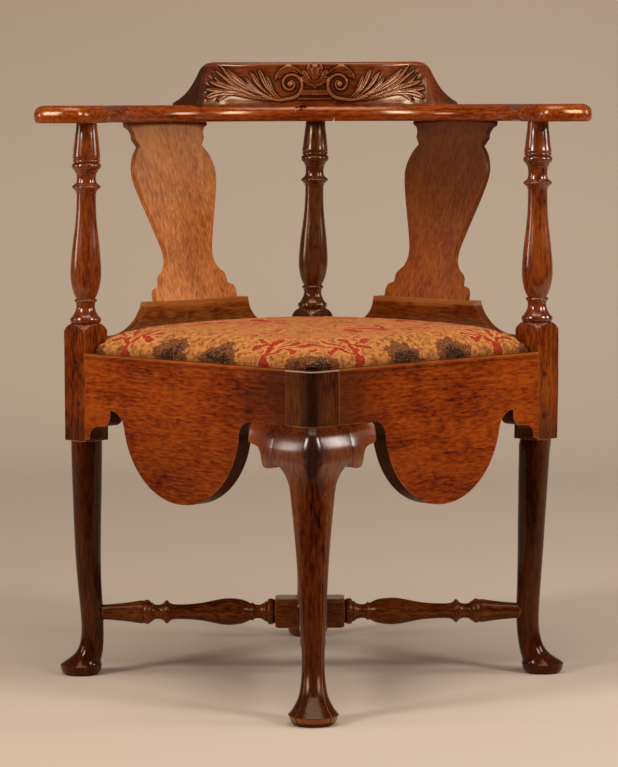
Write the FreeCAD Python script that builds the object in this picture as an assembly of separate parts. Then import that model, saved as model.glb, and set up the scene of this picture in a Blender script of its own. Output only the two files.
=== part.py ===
import FreeCAD, Part
import math
import os

# A corner chair. Its square seat stands on a corner, with a cabriole leg in front and three turned
# posts at the sides and back that carry a curved arm. Everything is drawn with the seat's centre on
# the Z axis, X to the right and Y to the back, and moved on writing to the middle of the footprint.

V = FreeCAD.Vector
centre = V(0, 0, 0)
up = V(0, 0, 1)
across = V(1, 0, 0)

# Driving dimensions, in millimetres
postReach = 292.0          # seat centre to a post's axis, along the seat's diagonal
blockSize = 40.0           # square of the three turned posts where the rails meet them
stileSize = 46.0           # square of the front leg where the rails meet it
blockBottom = 307.0
blockTop = 458.0
railThickness = 22.0
railTop = 421.0
railBottom = 353.0         # straight lower edge of the rails
rebateWidth = 6.0          # step inside the rails that the slip seat drops into
rebateDepth = 14.0
tenonThickness = 8.0
tenonInset = 6.5           # outer face of a rail to its tenon
tenonLength = 24.0
pegRadius = 3.4
armUnderside = 716.5
armThickness = 22.5
armInner = 262.0           # radii of the curved arm about the seat's centre
armOuter = 327.0
lapHalf = 27.0             # half the length of the lap that joins the two arms at the back
crestTop = 797.0
shoeTop = 480.0
shoeThickness = 17.5
splatThickness = 9.0
splatLean = 13.7           # degrees that the splats lean outward
stretcherHeight = 81.0
footRadius = 27.4
frontReach = 349.0         # seat centre to the middle of the front foot
frontFootRadius = 30.5
footSpread = 10.0          # side and back feet stand this far outside their posts
seatClearance = 1.5        # gap all round the slip seat
seatFrameThickness = 18.0
seatMemberWidth = 62.0
seatTongueLength = 28.0
seatTop = 457.0            # crown of the seat cover
domeRadius = 2100.0        # of the seat's crown
cornerCut = 14.0           # the cover's front corner is cut off by this much
edgeRound = 8.0            # radius round the cover's top
coverThickness = 2.0
webWidth = 50.0
webThickness = 1.2
lobeRadius = 106.5         # half-round drop of each front rail
lobeHeight = 347.0         # centre of that half round
lobePlace = 180.0          # from the post's block to the middle of the half round

sideOffset = postReach / math.sqrt(2)
railOuter = sideOffset + blockSize / 2
railInner = railOuter - railThickness
blockFace = sideOffset - blockSize / 2
stileFace = railOuter - stileSize
stileReach = (railOuter - stileSize / 2) * math.sqrt(2)
armTop = armUnderside + armThickness
ledge = railTop - rebateDepth
rebateEdge = railInner + rebateWidth
seatHalf = rebateEdge - seatClearance
seatBoardTop = ledge + seatFrameThickness
shoeFront = sideOffset + 4.5
splatFront = sideOffset + 8.0
originShift = V(0, (frontReach + frontFootRadius - postReach - footSpread - footRadius) / 2, 0)
frontLeft = -45
frontRight = 45
backRight = 135
backLeft = -135

os.makedirs("parts", exist_ok=True)
written = {}


def save(node, shape):
    placed = shape.copy()
    placed.translate(originShift)
    placed.exportStep("parts/" + node + ".step")
    written[node] = placed


def box(x0, x1, y0, y1, z0, z1):
    return Part.makeBox(x1 - x0, y1 - y0, z1 - z0, V(x0, y0, z0))


def turned45(shape, angle=45):
    copy = shape.copy()
    copy.rotate(centre, up, angle)
    return copy


# On a side of the seat, X runs to the right as seen from outside and Y points at the seat's centre.
def onSide(shape, side):
    return turned45(shape, side)


def mirrored(shape):
    return shape.mirror(centre, across)


def moved(shape, x, y, z):
    copy = shape.copy()
    copy.translate(V(x, y, z))
    return copy


def fused(*shapes):
    return shapes[0].multiFuse(list(shapes[1:])).removeSplitter()


def standing(a, b):
    return V(a, 0, b)


def lying(a, b):
    return V(a, b, 0)


# A closed face from a start point and steps: two numbers are a straight line to that point, four
# are an arc through the first point to the second, and a list of points is a smooth curve.
def outline(start, steps, point=standing):
    here = point(*start)
    first = here
    edges = []
    for step in steps:
        if isinstance(step, list):
            edges.append(smoothCurve([here] + [point(*pair) for pair in step]))
            here = point(*step[-1])
        elif len(step) == 4:
            end = point(*step[2:])
            edges.append(Part.Arc(here, point(*step[:2]), end).toShape())
            here = end
        else:
            end = point(*step)
            edges.append(Part.makeLine(here, end))
            here = end
    if here.distanceToPoint(first) > 0.001:
        edges.append(Part.makeLine(here, first))
    return Part.Face(Part.Wire(edges))


def smoothCurve(points):
    curve = Part.BSplineCurve()
    curve.interpolate(points)
    return curve.toShape()


def prism(face, depth0, depth1):
    return moved(face, 0, depth0, 0).extrude(V(0, depth1 - depth0, 0))


def revolved(face):
    return face.revolve(centre, up, 360)


def postBlock(size, bottom, top):
    half = size / 2
    return turned45(box(-half, half, -half, half, bottom, top))


# Turned post above its block: bead, hollow, small ring, long vase, two rings and a tapered head.
# The small rings are three plain slopes each, and only the long shapes are curved.
def baluster(lowRing, highRing):
    hollow = (lowRing + highRing) / 2
    steps = [
        (18.8, blockTop - 6), (18.8, blockTop + 0.5),
        (20.3, blockTop + 3), (20.0, blockTop + 6.5), (16.9, blockTop + 10.5),
        (12.2, 479, 13.4, 486),
        (15.2, 489), (13.4, 492.5),
        (20.9, 536, 15.4, 576), (12.9, 603, 12.6, lowRing - 8),
        (14.8, lowRing - 5.5),
        (17.9, lowRing - 2.2), (17.9, lowRing + 2.2), (14.6, lowRing + 5.5),
        (12.6, hollow), (14.6, highRing - 5.5),
        (18.5, highRing - 2.5), (18.7, highRing + 2.0), (17.3, highRing + 6),
        (16.2, 688, 13.5, armUnderside),
        (10.0, armUnderside), (10.0, armUnderside + 15), (0, armUnderside + 15)]
    return revolved(outline((0, blockTop - 6), steps))


# Round tapered leg with a pad foot: straight above, and below it leans in to the ankle and out again
def padLeg(outward):
    ridge = 12.5
    sections = (
        (blockBottom + 3, 20.2, 0.0), (255, 19.3, 0.0), (205, 18.0, 0.0), (160, 16.7, -0.4),
        (120, 15.6, -2.0), (85, 14.9, -4.4), (57, 14.6, -5.3), (36, 16.0, -3.2),
        (22, 20.4, 3.5), (ridge, footRadius, footSpread))
    rings = []
    for height, radius, reach in sections:
        rings.append(Part.Wire(Part.makeCircle(radius, outward * reach + up * height)))
    shaft = Part.makeLoft(rings, True, False, False, 3)
    sole = revolved(outline((0, 0), [(22.0, 0), (25.8, 5.0), (footRadius, ridge), (0, ridge)]))
    return fused(shaft, moved(sole, outward.x * footSpread, outward.y * footSpread, 0))


# One of the three posts: block with rounded shoulders, turned upper part and leg in one piece
def turnedPost(outward, lowRing, highRing):
    cornerRadius = blockSize / math.sqrt(2)
    shoulder = revolved(outline((0, blockBottom - 1), [
        (cornerRadius + 0.3, blockBottom - 1), (cornerRadius + 0.3, blockTop - 11),
        (26.2, blockTop - 4, 19.0, blockTop), (0, blockTop)]))
    block = postBlock(blockSize, blockBottom, blockTop).common(shoulder)
    post = fused(block, baluster(lowRing, highRing), padLeg(outward))
    return moved(post, outward.x * postReach, outward.y * postReach, 0)


# Section of the cabriole leg: a square on its corner, rounded off between corner and flat side
def cabrioleSection(height, corner, flat, reach):
    points = []
    for step in range(8):
        radius = flat if step % 2 else corner
        angle = math.radians(45 * step)
        points.append(V(radius * math.cos(angle), radius * math.sin(angle) - reach, height))
    curve = Part.BSplineCurve()
    curve.interpolate(points, PeriodicFlag=True)
    return Part.Wire(curve.toShape())


# Front leg: squared stile with a rounded outer corner, swelling knee, slim ankle and pad foot
def frontLeg():
    stile = moved(postBlock(stileSize, railBottom - 8, railTop), 0, -stileReach, 0)
    outerEdge = min(stile.Edges, key=lambda edge: edge.CenterOfMass.y)
    stile = stile.makeFillet(10.0, [outerEdge])
    ridge = 12.0
    sections = (
        (railBottom, 35.5, 26.5, 288.5), (344, 41.0, 32.2, 294.8), (330, 44.2, 35.5, 298.6),
        (312, 41.0, 33.8, 299.6), (292, 32.6, 28.4, 302.0), (262, 26.0, 24.0, 307.5),
        (220, 22.2, 21.5, 312.5), (170, 18.5, 18.3, 317.3), (122, 16.0, 15.9, 321.2),
        (82, 14.2, 14.2, 324.7), (55, 14.5, 14.5, 329.2), (36, 16.8, 16.8, 337.0),
        (22, 22.4, 22.4, 345.0), (ridge, frontFootRadius, frontFootRadius, frontReach))
    leg = Part.makeLoft([cabrioleSection(*section) for section in sections], True, False, False, 3)
    soleRadii = ((ridge, frontFootRadius), (5, 28.4), (0, 24.0))
    rings = [cabrioleSection(height, radius, radius, frontReach) for height, radius in soleRadii]
    sole = Part.makeLoft(rings, True, True)
    return fused(stile, leg, sole)


# Tenon of a rail, on a side: from where its shoulder is, going left or right
def tenon(x0, x1, z0, z1):
    outer = -railOuter + tenonInset
    return box(x0, x1, outer, outer + tenonThickness, z0, z1)


def rebateCut():
    return box(-300, 300, -rebateEdge, 0, ledge, railTop + 10)


# Front rail: a scrolled bracket at the post, an arch, then the deep half round and a straight run
def frontRail():
    x = -blockFace
    middle = x + lobePlace
    drop = 17.0
    reach = math.sqrt(lobeRadius ** 2 - drop ** 2)
    start = middle - reach
    end = middle + reach
    face = outline((x, railTop), [
        (x, 309), (x + 9, 311),
        (x + 11.5, 321.5, x + 19.5, 327.5), (x + 34, 329.5),
        (x + 44.5, 333.5, x + 48.5, 343), (x + 49, 350.5),
        (x + 63.5, 346, start, lobeHeight - drop),
        (middle, lobeHeight - lobeRadius, end, lobeHeight - drop),
        (end + 5, 346, end + 18, railBottom), (stileFace, railBottom), (stileFace, railTop)])
    rail = prism(face, -railOuter, -railInner).cut(rebateCut())
    atPost = tenon(x - tenonLength, x, 326, 404)
    atStile = tenon(stileFace, stileFace + tenonLength, 362, 404)
    return onSide(fused(rail, atPost, atStile), frontLeft)


def backRail(side):
    rail = box(-blockFace, blockFace, -railOuter, -railInner, railBottom, railTop).cut(rebateCut())
    left = tenon(-blockFace - tenonLength, -blockFace, 362, 404)
    right = tenon(blockFace, blockFace + tenonLength, 362, 404)
    return onSide(fused(rail, left, right), side)


# Two round pegs through a tenon, from the outer face of the block; end is -1 at a side's left
def pegPair(side, end, heights):
    place = end * (blockFace + 12.2)
    pegs = []
    for height in heights:
        peg = Part.makeCylinder(pegRadius, 24.0, V(place, -railOuter - 0.6, height), V(0, 1, 0))
        pegs.append(onSide(peg, side))
    return pegs


# Bracket under the left front rail beside the knee: scroll-cut below, swelling out to the knee
def kneeBracket():
    knee = 182.0
    nose = 120.0
    face = outline((knee, railBottom), [
        (nose + 6, railBottom), (nose, 342, nose + 5, 330.5),
        [(nose + 14, 328.2), (nose + 26, 325.5)],
        (nose + 33, 319, nose + 35, 305.5),
        (nose + 37.5, 301.5, nose + 42, 301.2), (nose + 52, 301),
        [(nose + 61, 296.5), (knee, 280)]])
    slab = prism(face, -railOuter - 22, -railInner)
    plan = outline((nose - 12, -railInner), [
        (nose - 12, -railOuter - 1.0),
        [(nose + 8, -railOuter - 7.0), (nose + 34, -railOuter - 12.0), (knee, -railOuter - 15.5)],
        (knee, -railInner)], lying).extrude(up * 200)
    # The bulge seen from the end: it starts flush under the rail and draws in again below
    profile = outline((0, railBottom), [
        [(railOuter + 10.0, railBottom - 10), (railOuter + 14.5, railBottom - 26),
         (railOuter + 12.0, railBottom - 52), (railOuter + 4.0, railBottom - 80)],
        (0, railBottom - 80)])
    bulge = turned45(moved(profile, 0, 0, 0).extrude(V(0, 400, 0)), -90)
    bracket = slab.common(moved(plan, 0, 0, 200)).common(bulge)
    return onSide(bracket, frontLeft)


def splatHalf():
    return outline((0, -14), [
        (74, -14), (74, 7), [(72.6, 14), (70.5, 17.5)], (60.5, 21), (59.8, 29.5),
        [(57.0, 35), (48.0, 42.5), (42.5, 54), (42.2, 66), (46.0, 81), (58.5, 118),
         (70.5, 155), (73.6, 176), (70.5, 190), (62.0, 205)], (56.5, 211),
        [(60.0, 216), (63.5, 222)], [(64.5, 232), (68.5, 236.5), (73.0, 238.5)],
        (73.0, 262), (0, 262)])


# Vase-shaped splat, leaning outward, with a narrower tongue below in the shoe and above in the arm
def splat():
    half = prism(splatHalf(), -splatThickness, 0)
    board = half.fuse(mirrored(half)).removeSplitter()
    narrow = box(-60, 60, -splatThickness, 0, -40, 280)
    for shape in (board, narrow):
        shape.rotate(centre, across, splatLean)
        shape.translate(V(0, -splatFront, shoeTop))
    shown = board.common(box(-200, 200, -400, 0, shoeTop, armUnderside))
    lowTongue = narrow.common(box(-200, 200, -400, 0, shoeTop - 9, shoeTop))
    highTongue = narrow.common(box(-200, 200, -400, 0, armUnderside, armUnderside + 8))
    return fused(shown, lowTongue, highTongue)


# Shoe on a back rail that holds the splat: hollowed front and long swept ends
def shoe():
    section = outline((shoeFront, railTop), [
        (shoeFront, railTop + 10), (shoeFront + 4.0, 452, shoeFront, shoeTop - 7),
        (shoeFront, shoeTop), (shoeFront + shoeThickness, shoeTop),
        (shoeFront + shoeThickness, railTop)])
    bar = turned45(section.extrude(V(0, 400, 0)), -90)
    bar.translate(V(-200, 0, 0))
    side = [(91, shoeTop), (92, shoeTop - 6), (108, 453, 150, 438), (172, 434), (172, railTop)]
    otherSide = [(-172, railTop), (-172, 434), (-150, 438), (-108, 453, -92, shoeTop - 6)]
    face = outline((-91, shoeTop), side + otherSide)
    return bar.common(prism(face, -400, 0))


def onCircle(radius, degrees):
    angle = math.radians(degrees)
    return V(radius * math.cos(angle), radius * math.sin(angle), 0)


# Curved arm of constant width that sweeps outward at its end; the sweep leaves both arcs smoothly
def armBlank():
    outerTurn = 164
    innerTurn = 175
    outerBack = V(lapHalf, math.sqrt(armOuter ** 2 - lapHalf ** 2), 0)
    innerBack = V(lapHalf, math.sqrt(armInner ** 2 - lapHalf ** 2), 0)
    outerEnd = onCircle(armOuter, outerTurn)
    innerEnd = onCircle(armInner, innerTurn)
    sweep = Part.BSplineCurve()
    end = [(-330, 48), (-346, 18), (-357.5, -12), (-352, -37), (-332, -48),
           (-308, -54), (-290, -46), (-276, -24), (-265, 0)]
    sweep.interpolate(
        Points=[outerEnd] + [V(x, y, 0) for x, y in end] + [innerEnd],
        InitialTangent=onCircle(40, outerTurn + 90), FinalTangent=onCircle(40, innerTurn - 90))
    edges = [
        Part.Arc(outerBack, onCircle(armOuter, 130), outerEnd).toShape(),
        sweep.toShape(),
        Part.Arc(innerEnd, onCircle(armInner, 130), innerBack).toShape(),
        Part.makeLine(innerBack, outerBack)]
    face = Part.Face(Part.Wire(edges))
    return moved(face, 0, 0, armUnderside).extrude(up * armThickness)


# Edges of the arm's outline at one height, without the straight one where the arms are cut
def rimEdges(shape, height):
    rim = []
    for edge in shape.Edges:
        level = abs(edge.BoundBox.ZMin - height) < 0.01 and abs(edge.BoundBox.ZMax - height) < 0.01
        if level and edge.BoundBox.XLength > 0.01:
            rim.append(edge)
    return rim


def armPair():
    blank = armBlank()
    blank = blank.makeFillet(9.5, rimEdges(blank, armTop))
    blank = blank.makeChamfer(2.0, rimEdges(blank, armUnderside))
    middle = (armUnderside + armTop) / 2
    left = blank.cut(box(-lapHalf, 100, 200, 400, armUnderside - 5, middle))
    right = mirrored(blank).cut(box(-100, lapHalf, 200, 400, middle, armTop + 5))
    return left, right


# Crest standing on the back of the arms: hollow behind, swept down at both ends
def crestRail():
    section = outline((armInner + 2.0, armTop), [
        (armInner + 5.5, crestTop - 5), (armInner + 7.0, crestTop - 1.0, armInner + 11, crestTop),
        (armInner + 23, crestTop), (armInner + 29, crestTop - 2, armInner + 32, crestTop - 8),
        (armInner + 38.0, 765, armInner + 59, armTop + 3), (armInner + 59, armTop)])
    ring = section.revolve(centre, up, 180)
    below = armTop - 10
    half = prism(outline((0, crestTop + 5), [
        (136, crestTop + 5), (136, crestTop), (147, crestTop - 4.5), (153, crestTop - 12),
        [(160, 776), (168, 761), (181, 748), (208, below)], (0, below)]), 100, 400)
    wedge = box(0, 300, 0, 400, -80, 160)
    wedge.rotate(centre, V(0, 1, 0), -8)
    wedge.translate(V(4, 0, armTop))
    wedge.rotate(centre, up, -35.0)
    half = half.cut(wedge)
    return ring.common(half.fuse(mirrored(half)).removeSplitter())


# Half of a turned stretcher, from its square block out to the leg, about the Z axis
def stretcherArm(blockEnd, length):
    scale = (length - blockEnd) / 226.0

    def at(distance):
        return blockEnd + distance * scale

    steps = [
        (11.5, blockEnd - 8), (11.5, at(3)),
        (15.8, at(6.5)), (15.6, at(10)), (11.6, at(14)),
        (9.2, at(25)), (12.8, at(38)),
        (17.4, at(68), 15.0, at(90)), (11.3, at(113), 9.8, at(132)),
        (12.0, at(138)), (14.8, at(143)), (12.0, at(148)), (9.8, at(155)), (12.0, at(162)),
        (15.6, at(167)), (12.8, at(174)),
        (10.8, at(198), 9.8, at(232)), (7.0, at(232)), (7.0, at(241)), (0, at(241))]
    return revolved(outline((0, blockEnd - 8), steps))


# Square block in the middle of a stretcher, its ends turned down to a round
def stretcherBlock(low, high):
    half = 19.0
    corner = half * math.sqrt(2)
    middle = (low + high) / 2
    shoulder = revolved(outline((0, low), [
        (half - 3, low), (corner - 2.5, low + 2.5, corner, low + 9), (corner, high - 9),
        (corner - 2.5, high - 2.5, half - 3, high), (0, high)]))
    return box(-half, half, -half, half, low, high).common(shoulder)


# A whole stretcher along X; its block reaches unequally to the two sides of the crossing
def stretcher(blockLow, blockHigh, lengthLow, lengthHigh):
    highHalf = stretcherArm(blockHigh, lengthHigh)
    lowHalf = stretcherArm(-blockLow, lengthLow)
    lowHalf.rotate(centre, across, 180)
    whole = fused(stretcherBlock(blockLow, blockHigh), highHalf, lowHalf)
    whole.rotate(centre, V(0, 1, 0), 90)
    whole.translate(V(0, 0, stretcherHeight))
    return whole


# Triangular glue block in a corner under the slip seat, drawn in the corner to the right of a side
def cornerBlock(cornerInset, side):
    legLength = 58.0
    corner = railInner
    face = outline((corner, -corner), [(corner - legLength, -corner), (corner, -corner + legLength)],
                   lying)
    wedge = moved(face, 0, 0, ledge - 42).extrude(up * 40)
    post = box(cornerInset, corner + 50, -corner - 50, -cornerInset, 300, 450)
    return onSide(wedge.cut(post), side)


# Outline of the slip seat in line with the rails: a square notched round the posts at its corners,
# with its front corner as given
def seatOutline(half, notch, frontCorner):
    corners = frontCorner + [
        (-notch, -half), (-notch, -notch), (-half, -notch),
        (-half, notch), (-notch, notch), (-notch, half),
        (notch, half), (notch, notch), (half, notch)]
    return outline(corners[0], corners[1:], lying)


def seatFrame():
    notch = blockFace - seatClearance
    frontNotch = stileFace - seatClearance
    roundStile = [(seatHalf, -frontNotch), (frontNotch, -frontNotch), (frontNotch, -seatHalf)]
    plate = moved(seatOutline(seatHalf, notch, roundStile), 0, 0, ledge)
    plate = plate.extrude(up * seatFrameThickness)
    inner = seatHalf - seatMemberWidth
    tongueHalf = seatFrameThickness / 6
    middle = ledge + seatFrameThickness / 2
    members = {}
    for name, low in (("back_left", -seatHalf), ("front_right", inner)):
        members[name] = plate.common(box(low, low + seatMemberWidth, -300, 300, 300, 500))
    for name, low in (("front_left", -seatHalf), ("back_right", inner)):
        rail = plate.common(box(-inner, inner, low, low + seatMemberWidth, 300, 500))
        y0 = low + 14
        y1 = low + seatMemberWidth - 10
        reach = inner + seatTongueLength
        tongue = box(-reach, reach, y0, y1, middle - tongueHalf, middle + tongueHalf)
        members[name] = fused(rail, tongue)
        for other in ("back_left", "front_right"):
            members[other] = members[other].cut(tongue)
    return members


# Domed block with the seat's outline, its front corner cut off where it lies over the leg's stile;
# shrink draws its sides and its crown in
def domedBlock(shrink, floor):
    half = seatHalf - shrink
    notch = blockFace - seatClearance - shrink
    cutCorner = [(half, cornerCut - half), (half - cornerCut, -half)]
    base = moved(seatOutline(half, notch, cutCorner), 0, 0, floor)
    dome = Part.makeSphere(domeRadius, V(0, 0, seatTop - shrink - domeRadius))
    return base.extrude(up * 100).common(dome)


def upperRim(block, floor):
    return [edge for edge in block.Edges
            if edge.BoundBox.ZMin > floor + 3 and edge.BoundBox.ZLength < 6]


# Cover with its crown: rounded down at the edge, and hollow for the stuffing
def seatCover():
    outer = domedBlock(0, seatBoardTop)
    outer = outer.makeFillet(edgeRound, upperRim(outer, seatBoardTop))
    hollowFloor = seatBoardTop - 1
    hollow = domedBlock(coverThickness, hollowFloor)
    hollow = hollow.makeChamfer(edgeRound - 3, upperRim(hollow, hollowFloor))
    return outer.cut(hollow)


def webbing(lengthwise, floor):
    straps = []
    for place in (-84, 0, 84):
        strap = box(-seatHalf + 22, seatHalf - 22, place - webWidth / 2, place + webWidth / 2,
                    floor, floor + webThickness)
        if lengthwise:
            strap.rotate(centre, up, 90)
        straps.append(strap)
    return straps


# Legs and posts
left = V(-1, 0, 0)
right = V(1, 0, 0)
back = V(0, 1, 0)
posts = {
    "left_post": turnedPost(left, 634.5, 661.5),
    "right_post": turnedPost(right, 637.5, 668.5),
    "back_post": turnedPost(back, 636, 666)}
leg = frontLeg()

# Seat rails and their joints
leftRail = frontRail()
rails = {
    "front_left_rail": leftRail,
    "front_right_rail": mirrored(leftRail),
    "back_left_rail": backRail(backLeft),
    "back_right_rail": backRail(backRight)}
for name in posts:
    for rail in rails.values():
        posts[name] = posts[name].cut(rail)
for rail in ("front_left_rail", "front_right_rail"):
    leg = leg.cut(rails[rail])

frontPegs = pegPair(frontLeft, -1, (356, 406)) + pegPair(frontRight, 1, (338, 392))
backPegs = []
for side in (backLeft, backRight):
    backPegs += pegPair(side, -1, (372, 396)) + pegPair(side, 1, (372, 396))
for peg in frontPegs + backPegs:
    for name in posts:
        posts[name] = posts[name].cut(peg)
    for name in rails:
        rails[name] = rails[name].cut(peg)

leftBracket = kneeBracket()
rightBracket = mirrored(leftBracket).cut(leg)
leftBracket = leftBracket.cut(leg)

# Arms, crest and splats
leftSplat = onSide(splat(), backLeft)
rightSplat = mirrored(leftSplat)
leftShoe = onSide(shoe(), backLeft).cut(leftSplat)
leftArm, rightArm = armPair()
for name in posts:
    leftArm = leftArm.cut(posts[name])
    rightArm = rightArm.cut(posts[name])
leftArm = leftArm.cut(leftSplat)
rightArm = rightArm.cut(rightSplat)
crest = crestRail()
screws = []
for angle in (62, 80, 100, 118):
    place = onCircle(postReach, angle) + up * armUnderside
    head = Part.makeCone(5.0, 2.6, 4.0, place, up)
    shank = Part.makeCylinder(2.6, 44.0, place, up)
    screws.append(head.fuse(shank).removeSplitter())
for screw in screws:
    leftArm = leftArm.cut(screw)
    rightArm = rightArm.cut(screw)
    crest = crest.cut(screw)

# Crossed stretchers, halved over each other in their square blocks
sideStretcher = stretcher(-46, 38, postReach - 18, postReach - 18)
longStretcher = stretcher(-42, 42, frontReach - 38, postReach - 18)
longStretcher.rotate(centre, up, 90)
halvedHeight = stretcherHeight + 30
sideStretcher = sideStretcher.cut(box(-19, 19, -30, 30, stretcherHeight - 30, stretcherHeight))
longStretcher = longStretcher.cut(box(-30, 30, -19, 19, stretcherHeight, halvedHeight))
for name in ("left_post", "right_post"):
    posts[name] = posts[name].cut(sideStretcher)
posts["back_post"] = posts["back_post"].cut(longStretcher)
leg = leg.cut(longStretcher)

for name, shape in posts.items():
    save(name, shape)
save("front_leg", leg)
for name, shape in rails.items():
    save(name, shape)
save("front_rail_pegs", Part.makeCompound(frontPegs))
save("back_rail_pegs", Part.makeCompound(backPegs))
save("left_knee_bracket", leftBracket)
save("right_knee_bracket", rightBracket)
save("left_splat", leftSplat)
save("right_splat", rightSplat)
save("left_shoe", leftShoe)
save("right_shoe", mirrored(leftShoe))
save("left_arm", leftArm)
save("right_arm", rightArm)
save("crest_rail", crest)
save("crest_screws", Part.makeCompound(screws))
save("side_stretcher", sideStretcher)
save("long_stretcher", longStretcher)
save("front_corner_block", cornerBlock(stileFace, frontLeft))
save("right_corner_block", cornerBlock(blockFace, frontRight))
save("back_corner_block", cornerBlock(blockFace, backRight))
save("left_corner_block", cornerBlock(blockFace, backLeft))

# Slip seat, drawn in line with the rails and turned with them
for name, shape in seatFrame().items():
    save("seat_frame_" + name, turned45(shape, frontLeft))
lower = webbing(False, seatBoardTop)
upper = webbing(True, seatBoardTop + webThickness)
save("webbing_lower", Part.makeCompound([turned45(strap, frontLeft) for strap in lower]))
save("webbing_upper", Part.makeCompound([turned45(strap, frontLeft) for strap in upper]))
stuffing = domedBlock(coverThickness + 3.0, seatBoardTop + 2 * webThickness)
save("seat_stuffing", turned45(stuffing, frontLeft))
save("seat_cover", turned45(seatCover(), frontLeft))

for node, shape in written.items():
    bounds = shape.BoundBox
    print(node, len(shape.Solids), shape.isValid(), round(shape.Volume / 1000, 1),
          [round(value, 1) for value in (bounds.XMin, bounds.XMax, bounds.YMin, bounds.YMax,
                                         bounds.ZMin, bounds.ZMax)])
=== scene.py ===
import bpy
import bmesh
import math
import numpy as np
from mathutils import Matrix, Vector


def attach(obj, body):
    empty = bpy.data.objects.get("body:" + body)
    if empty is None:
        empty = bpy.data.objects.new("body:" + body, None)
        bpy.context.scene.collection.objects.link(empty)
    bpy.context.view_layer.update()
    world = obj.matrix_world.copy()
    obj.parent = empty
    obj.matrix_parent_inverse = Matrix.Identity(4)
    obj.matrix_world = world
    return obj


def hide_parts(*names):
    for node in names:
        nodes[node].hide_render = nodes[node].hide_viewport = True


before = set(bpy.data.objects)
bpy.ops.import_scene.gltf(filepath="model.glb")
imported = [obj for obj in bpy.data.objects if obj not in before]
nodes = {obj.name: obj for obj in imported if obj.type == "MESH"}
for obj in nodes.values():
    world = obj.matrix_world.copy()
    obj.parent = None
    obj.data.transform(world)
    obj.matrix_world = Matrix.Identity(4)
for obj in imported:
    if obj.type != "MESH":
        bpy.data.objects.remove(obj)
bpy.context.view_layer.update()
scene = bpy.context.scene
mm = 0.001
yShift = 25.05    # mm from the frame's origin back to the seat's centre, which all plans start from
print("frame loaded:", len(nodes), "nodes")


# Camera, as the photograph was taken: a long lens a little above the seat, looking slightly down
cameraView = {"place": (-0.01045, -4.10645, 0.73908), "pitch": 4.98, "yaw": 0.10, "roll": -0.21,
              "lens": 150.2, "sensorHeight": 36}
cameraData = bpy.data.cameras.new("studioCamera")
cameraData.sensor_fit = "VERTICAL"
cameraData.sensor_height = cameraView["sensorHeight"]
cameraData.lens = cameraView["lens"]
camera = bpy.data.objects.new("studioCamera", cameraData)
scene.collection.objects.link(camera)
camera.matrix_world = (
    Matrix.Translation(cameraView["place"])
    @ Matrix.Rotation(math.radians(-cameraView["yaw"]), 4, "Z")
    @ Matrix.Rotation(math.radians(90 - cameraView["pitch"]), 4, "X")
    @ Matrix.Rotation(math.radians(cameraView["roll"]), 4, "Z"))
scene.camera = camera


# Shader writing: a Signal is one socket, and sums and products of Signals add Math nodes
class Signal:
    def __init__(self, sheet, socket):
        self.sheet = sheet
        self.socket = socket

    def __add__(self, other):
        return self.sheet.maths("ADD", self, other)

    def __sub__(self, other):
        return self.sheet.maths("SUBTRACT", self, other)

    def __mul__(self, other):
        return self.sheet.maths("MULTIPLY", self, other)

    def __truediv__(self, other):
        return self.sheet.maths("DIVIDE", self, other)

    def __radd__(self, other):
        return self.sheet.maths("ADD", other, self)

    def __rsub__(self, other):
        return self.sheet.maths("SUBTRACT", other, self)


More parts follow.
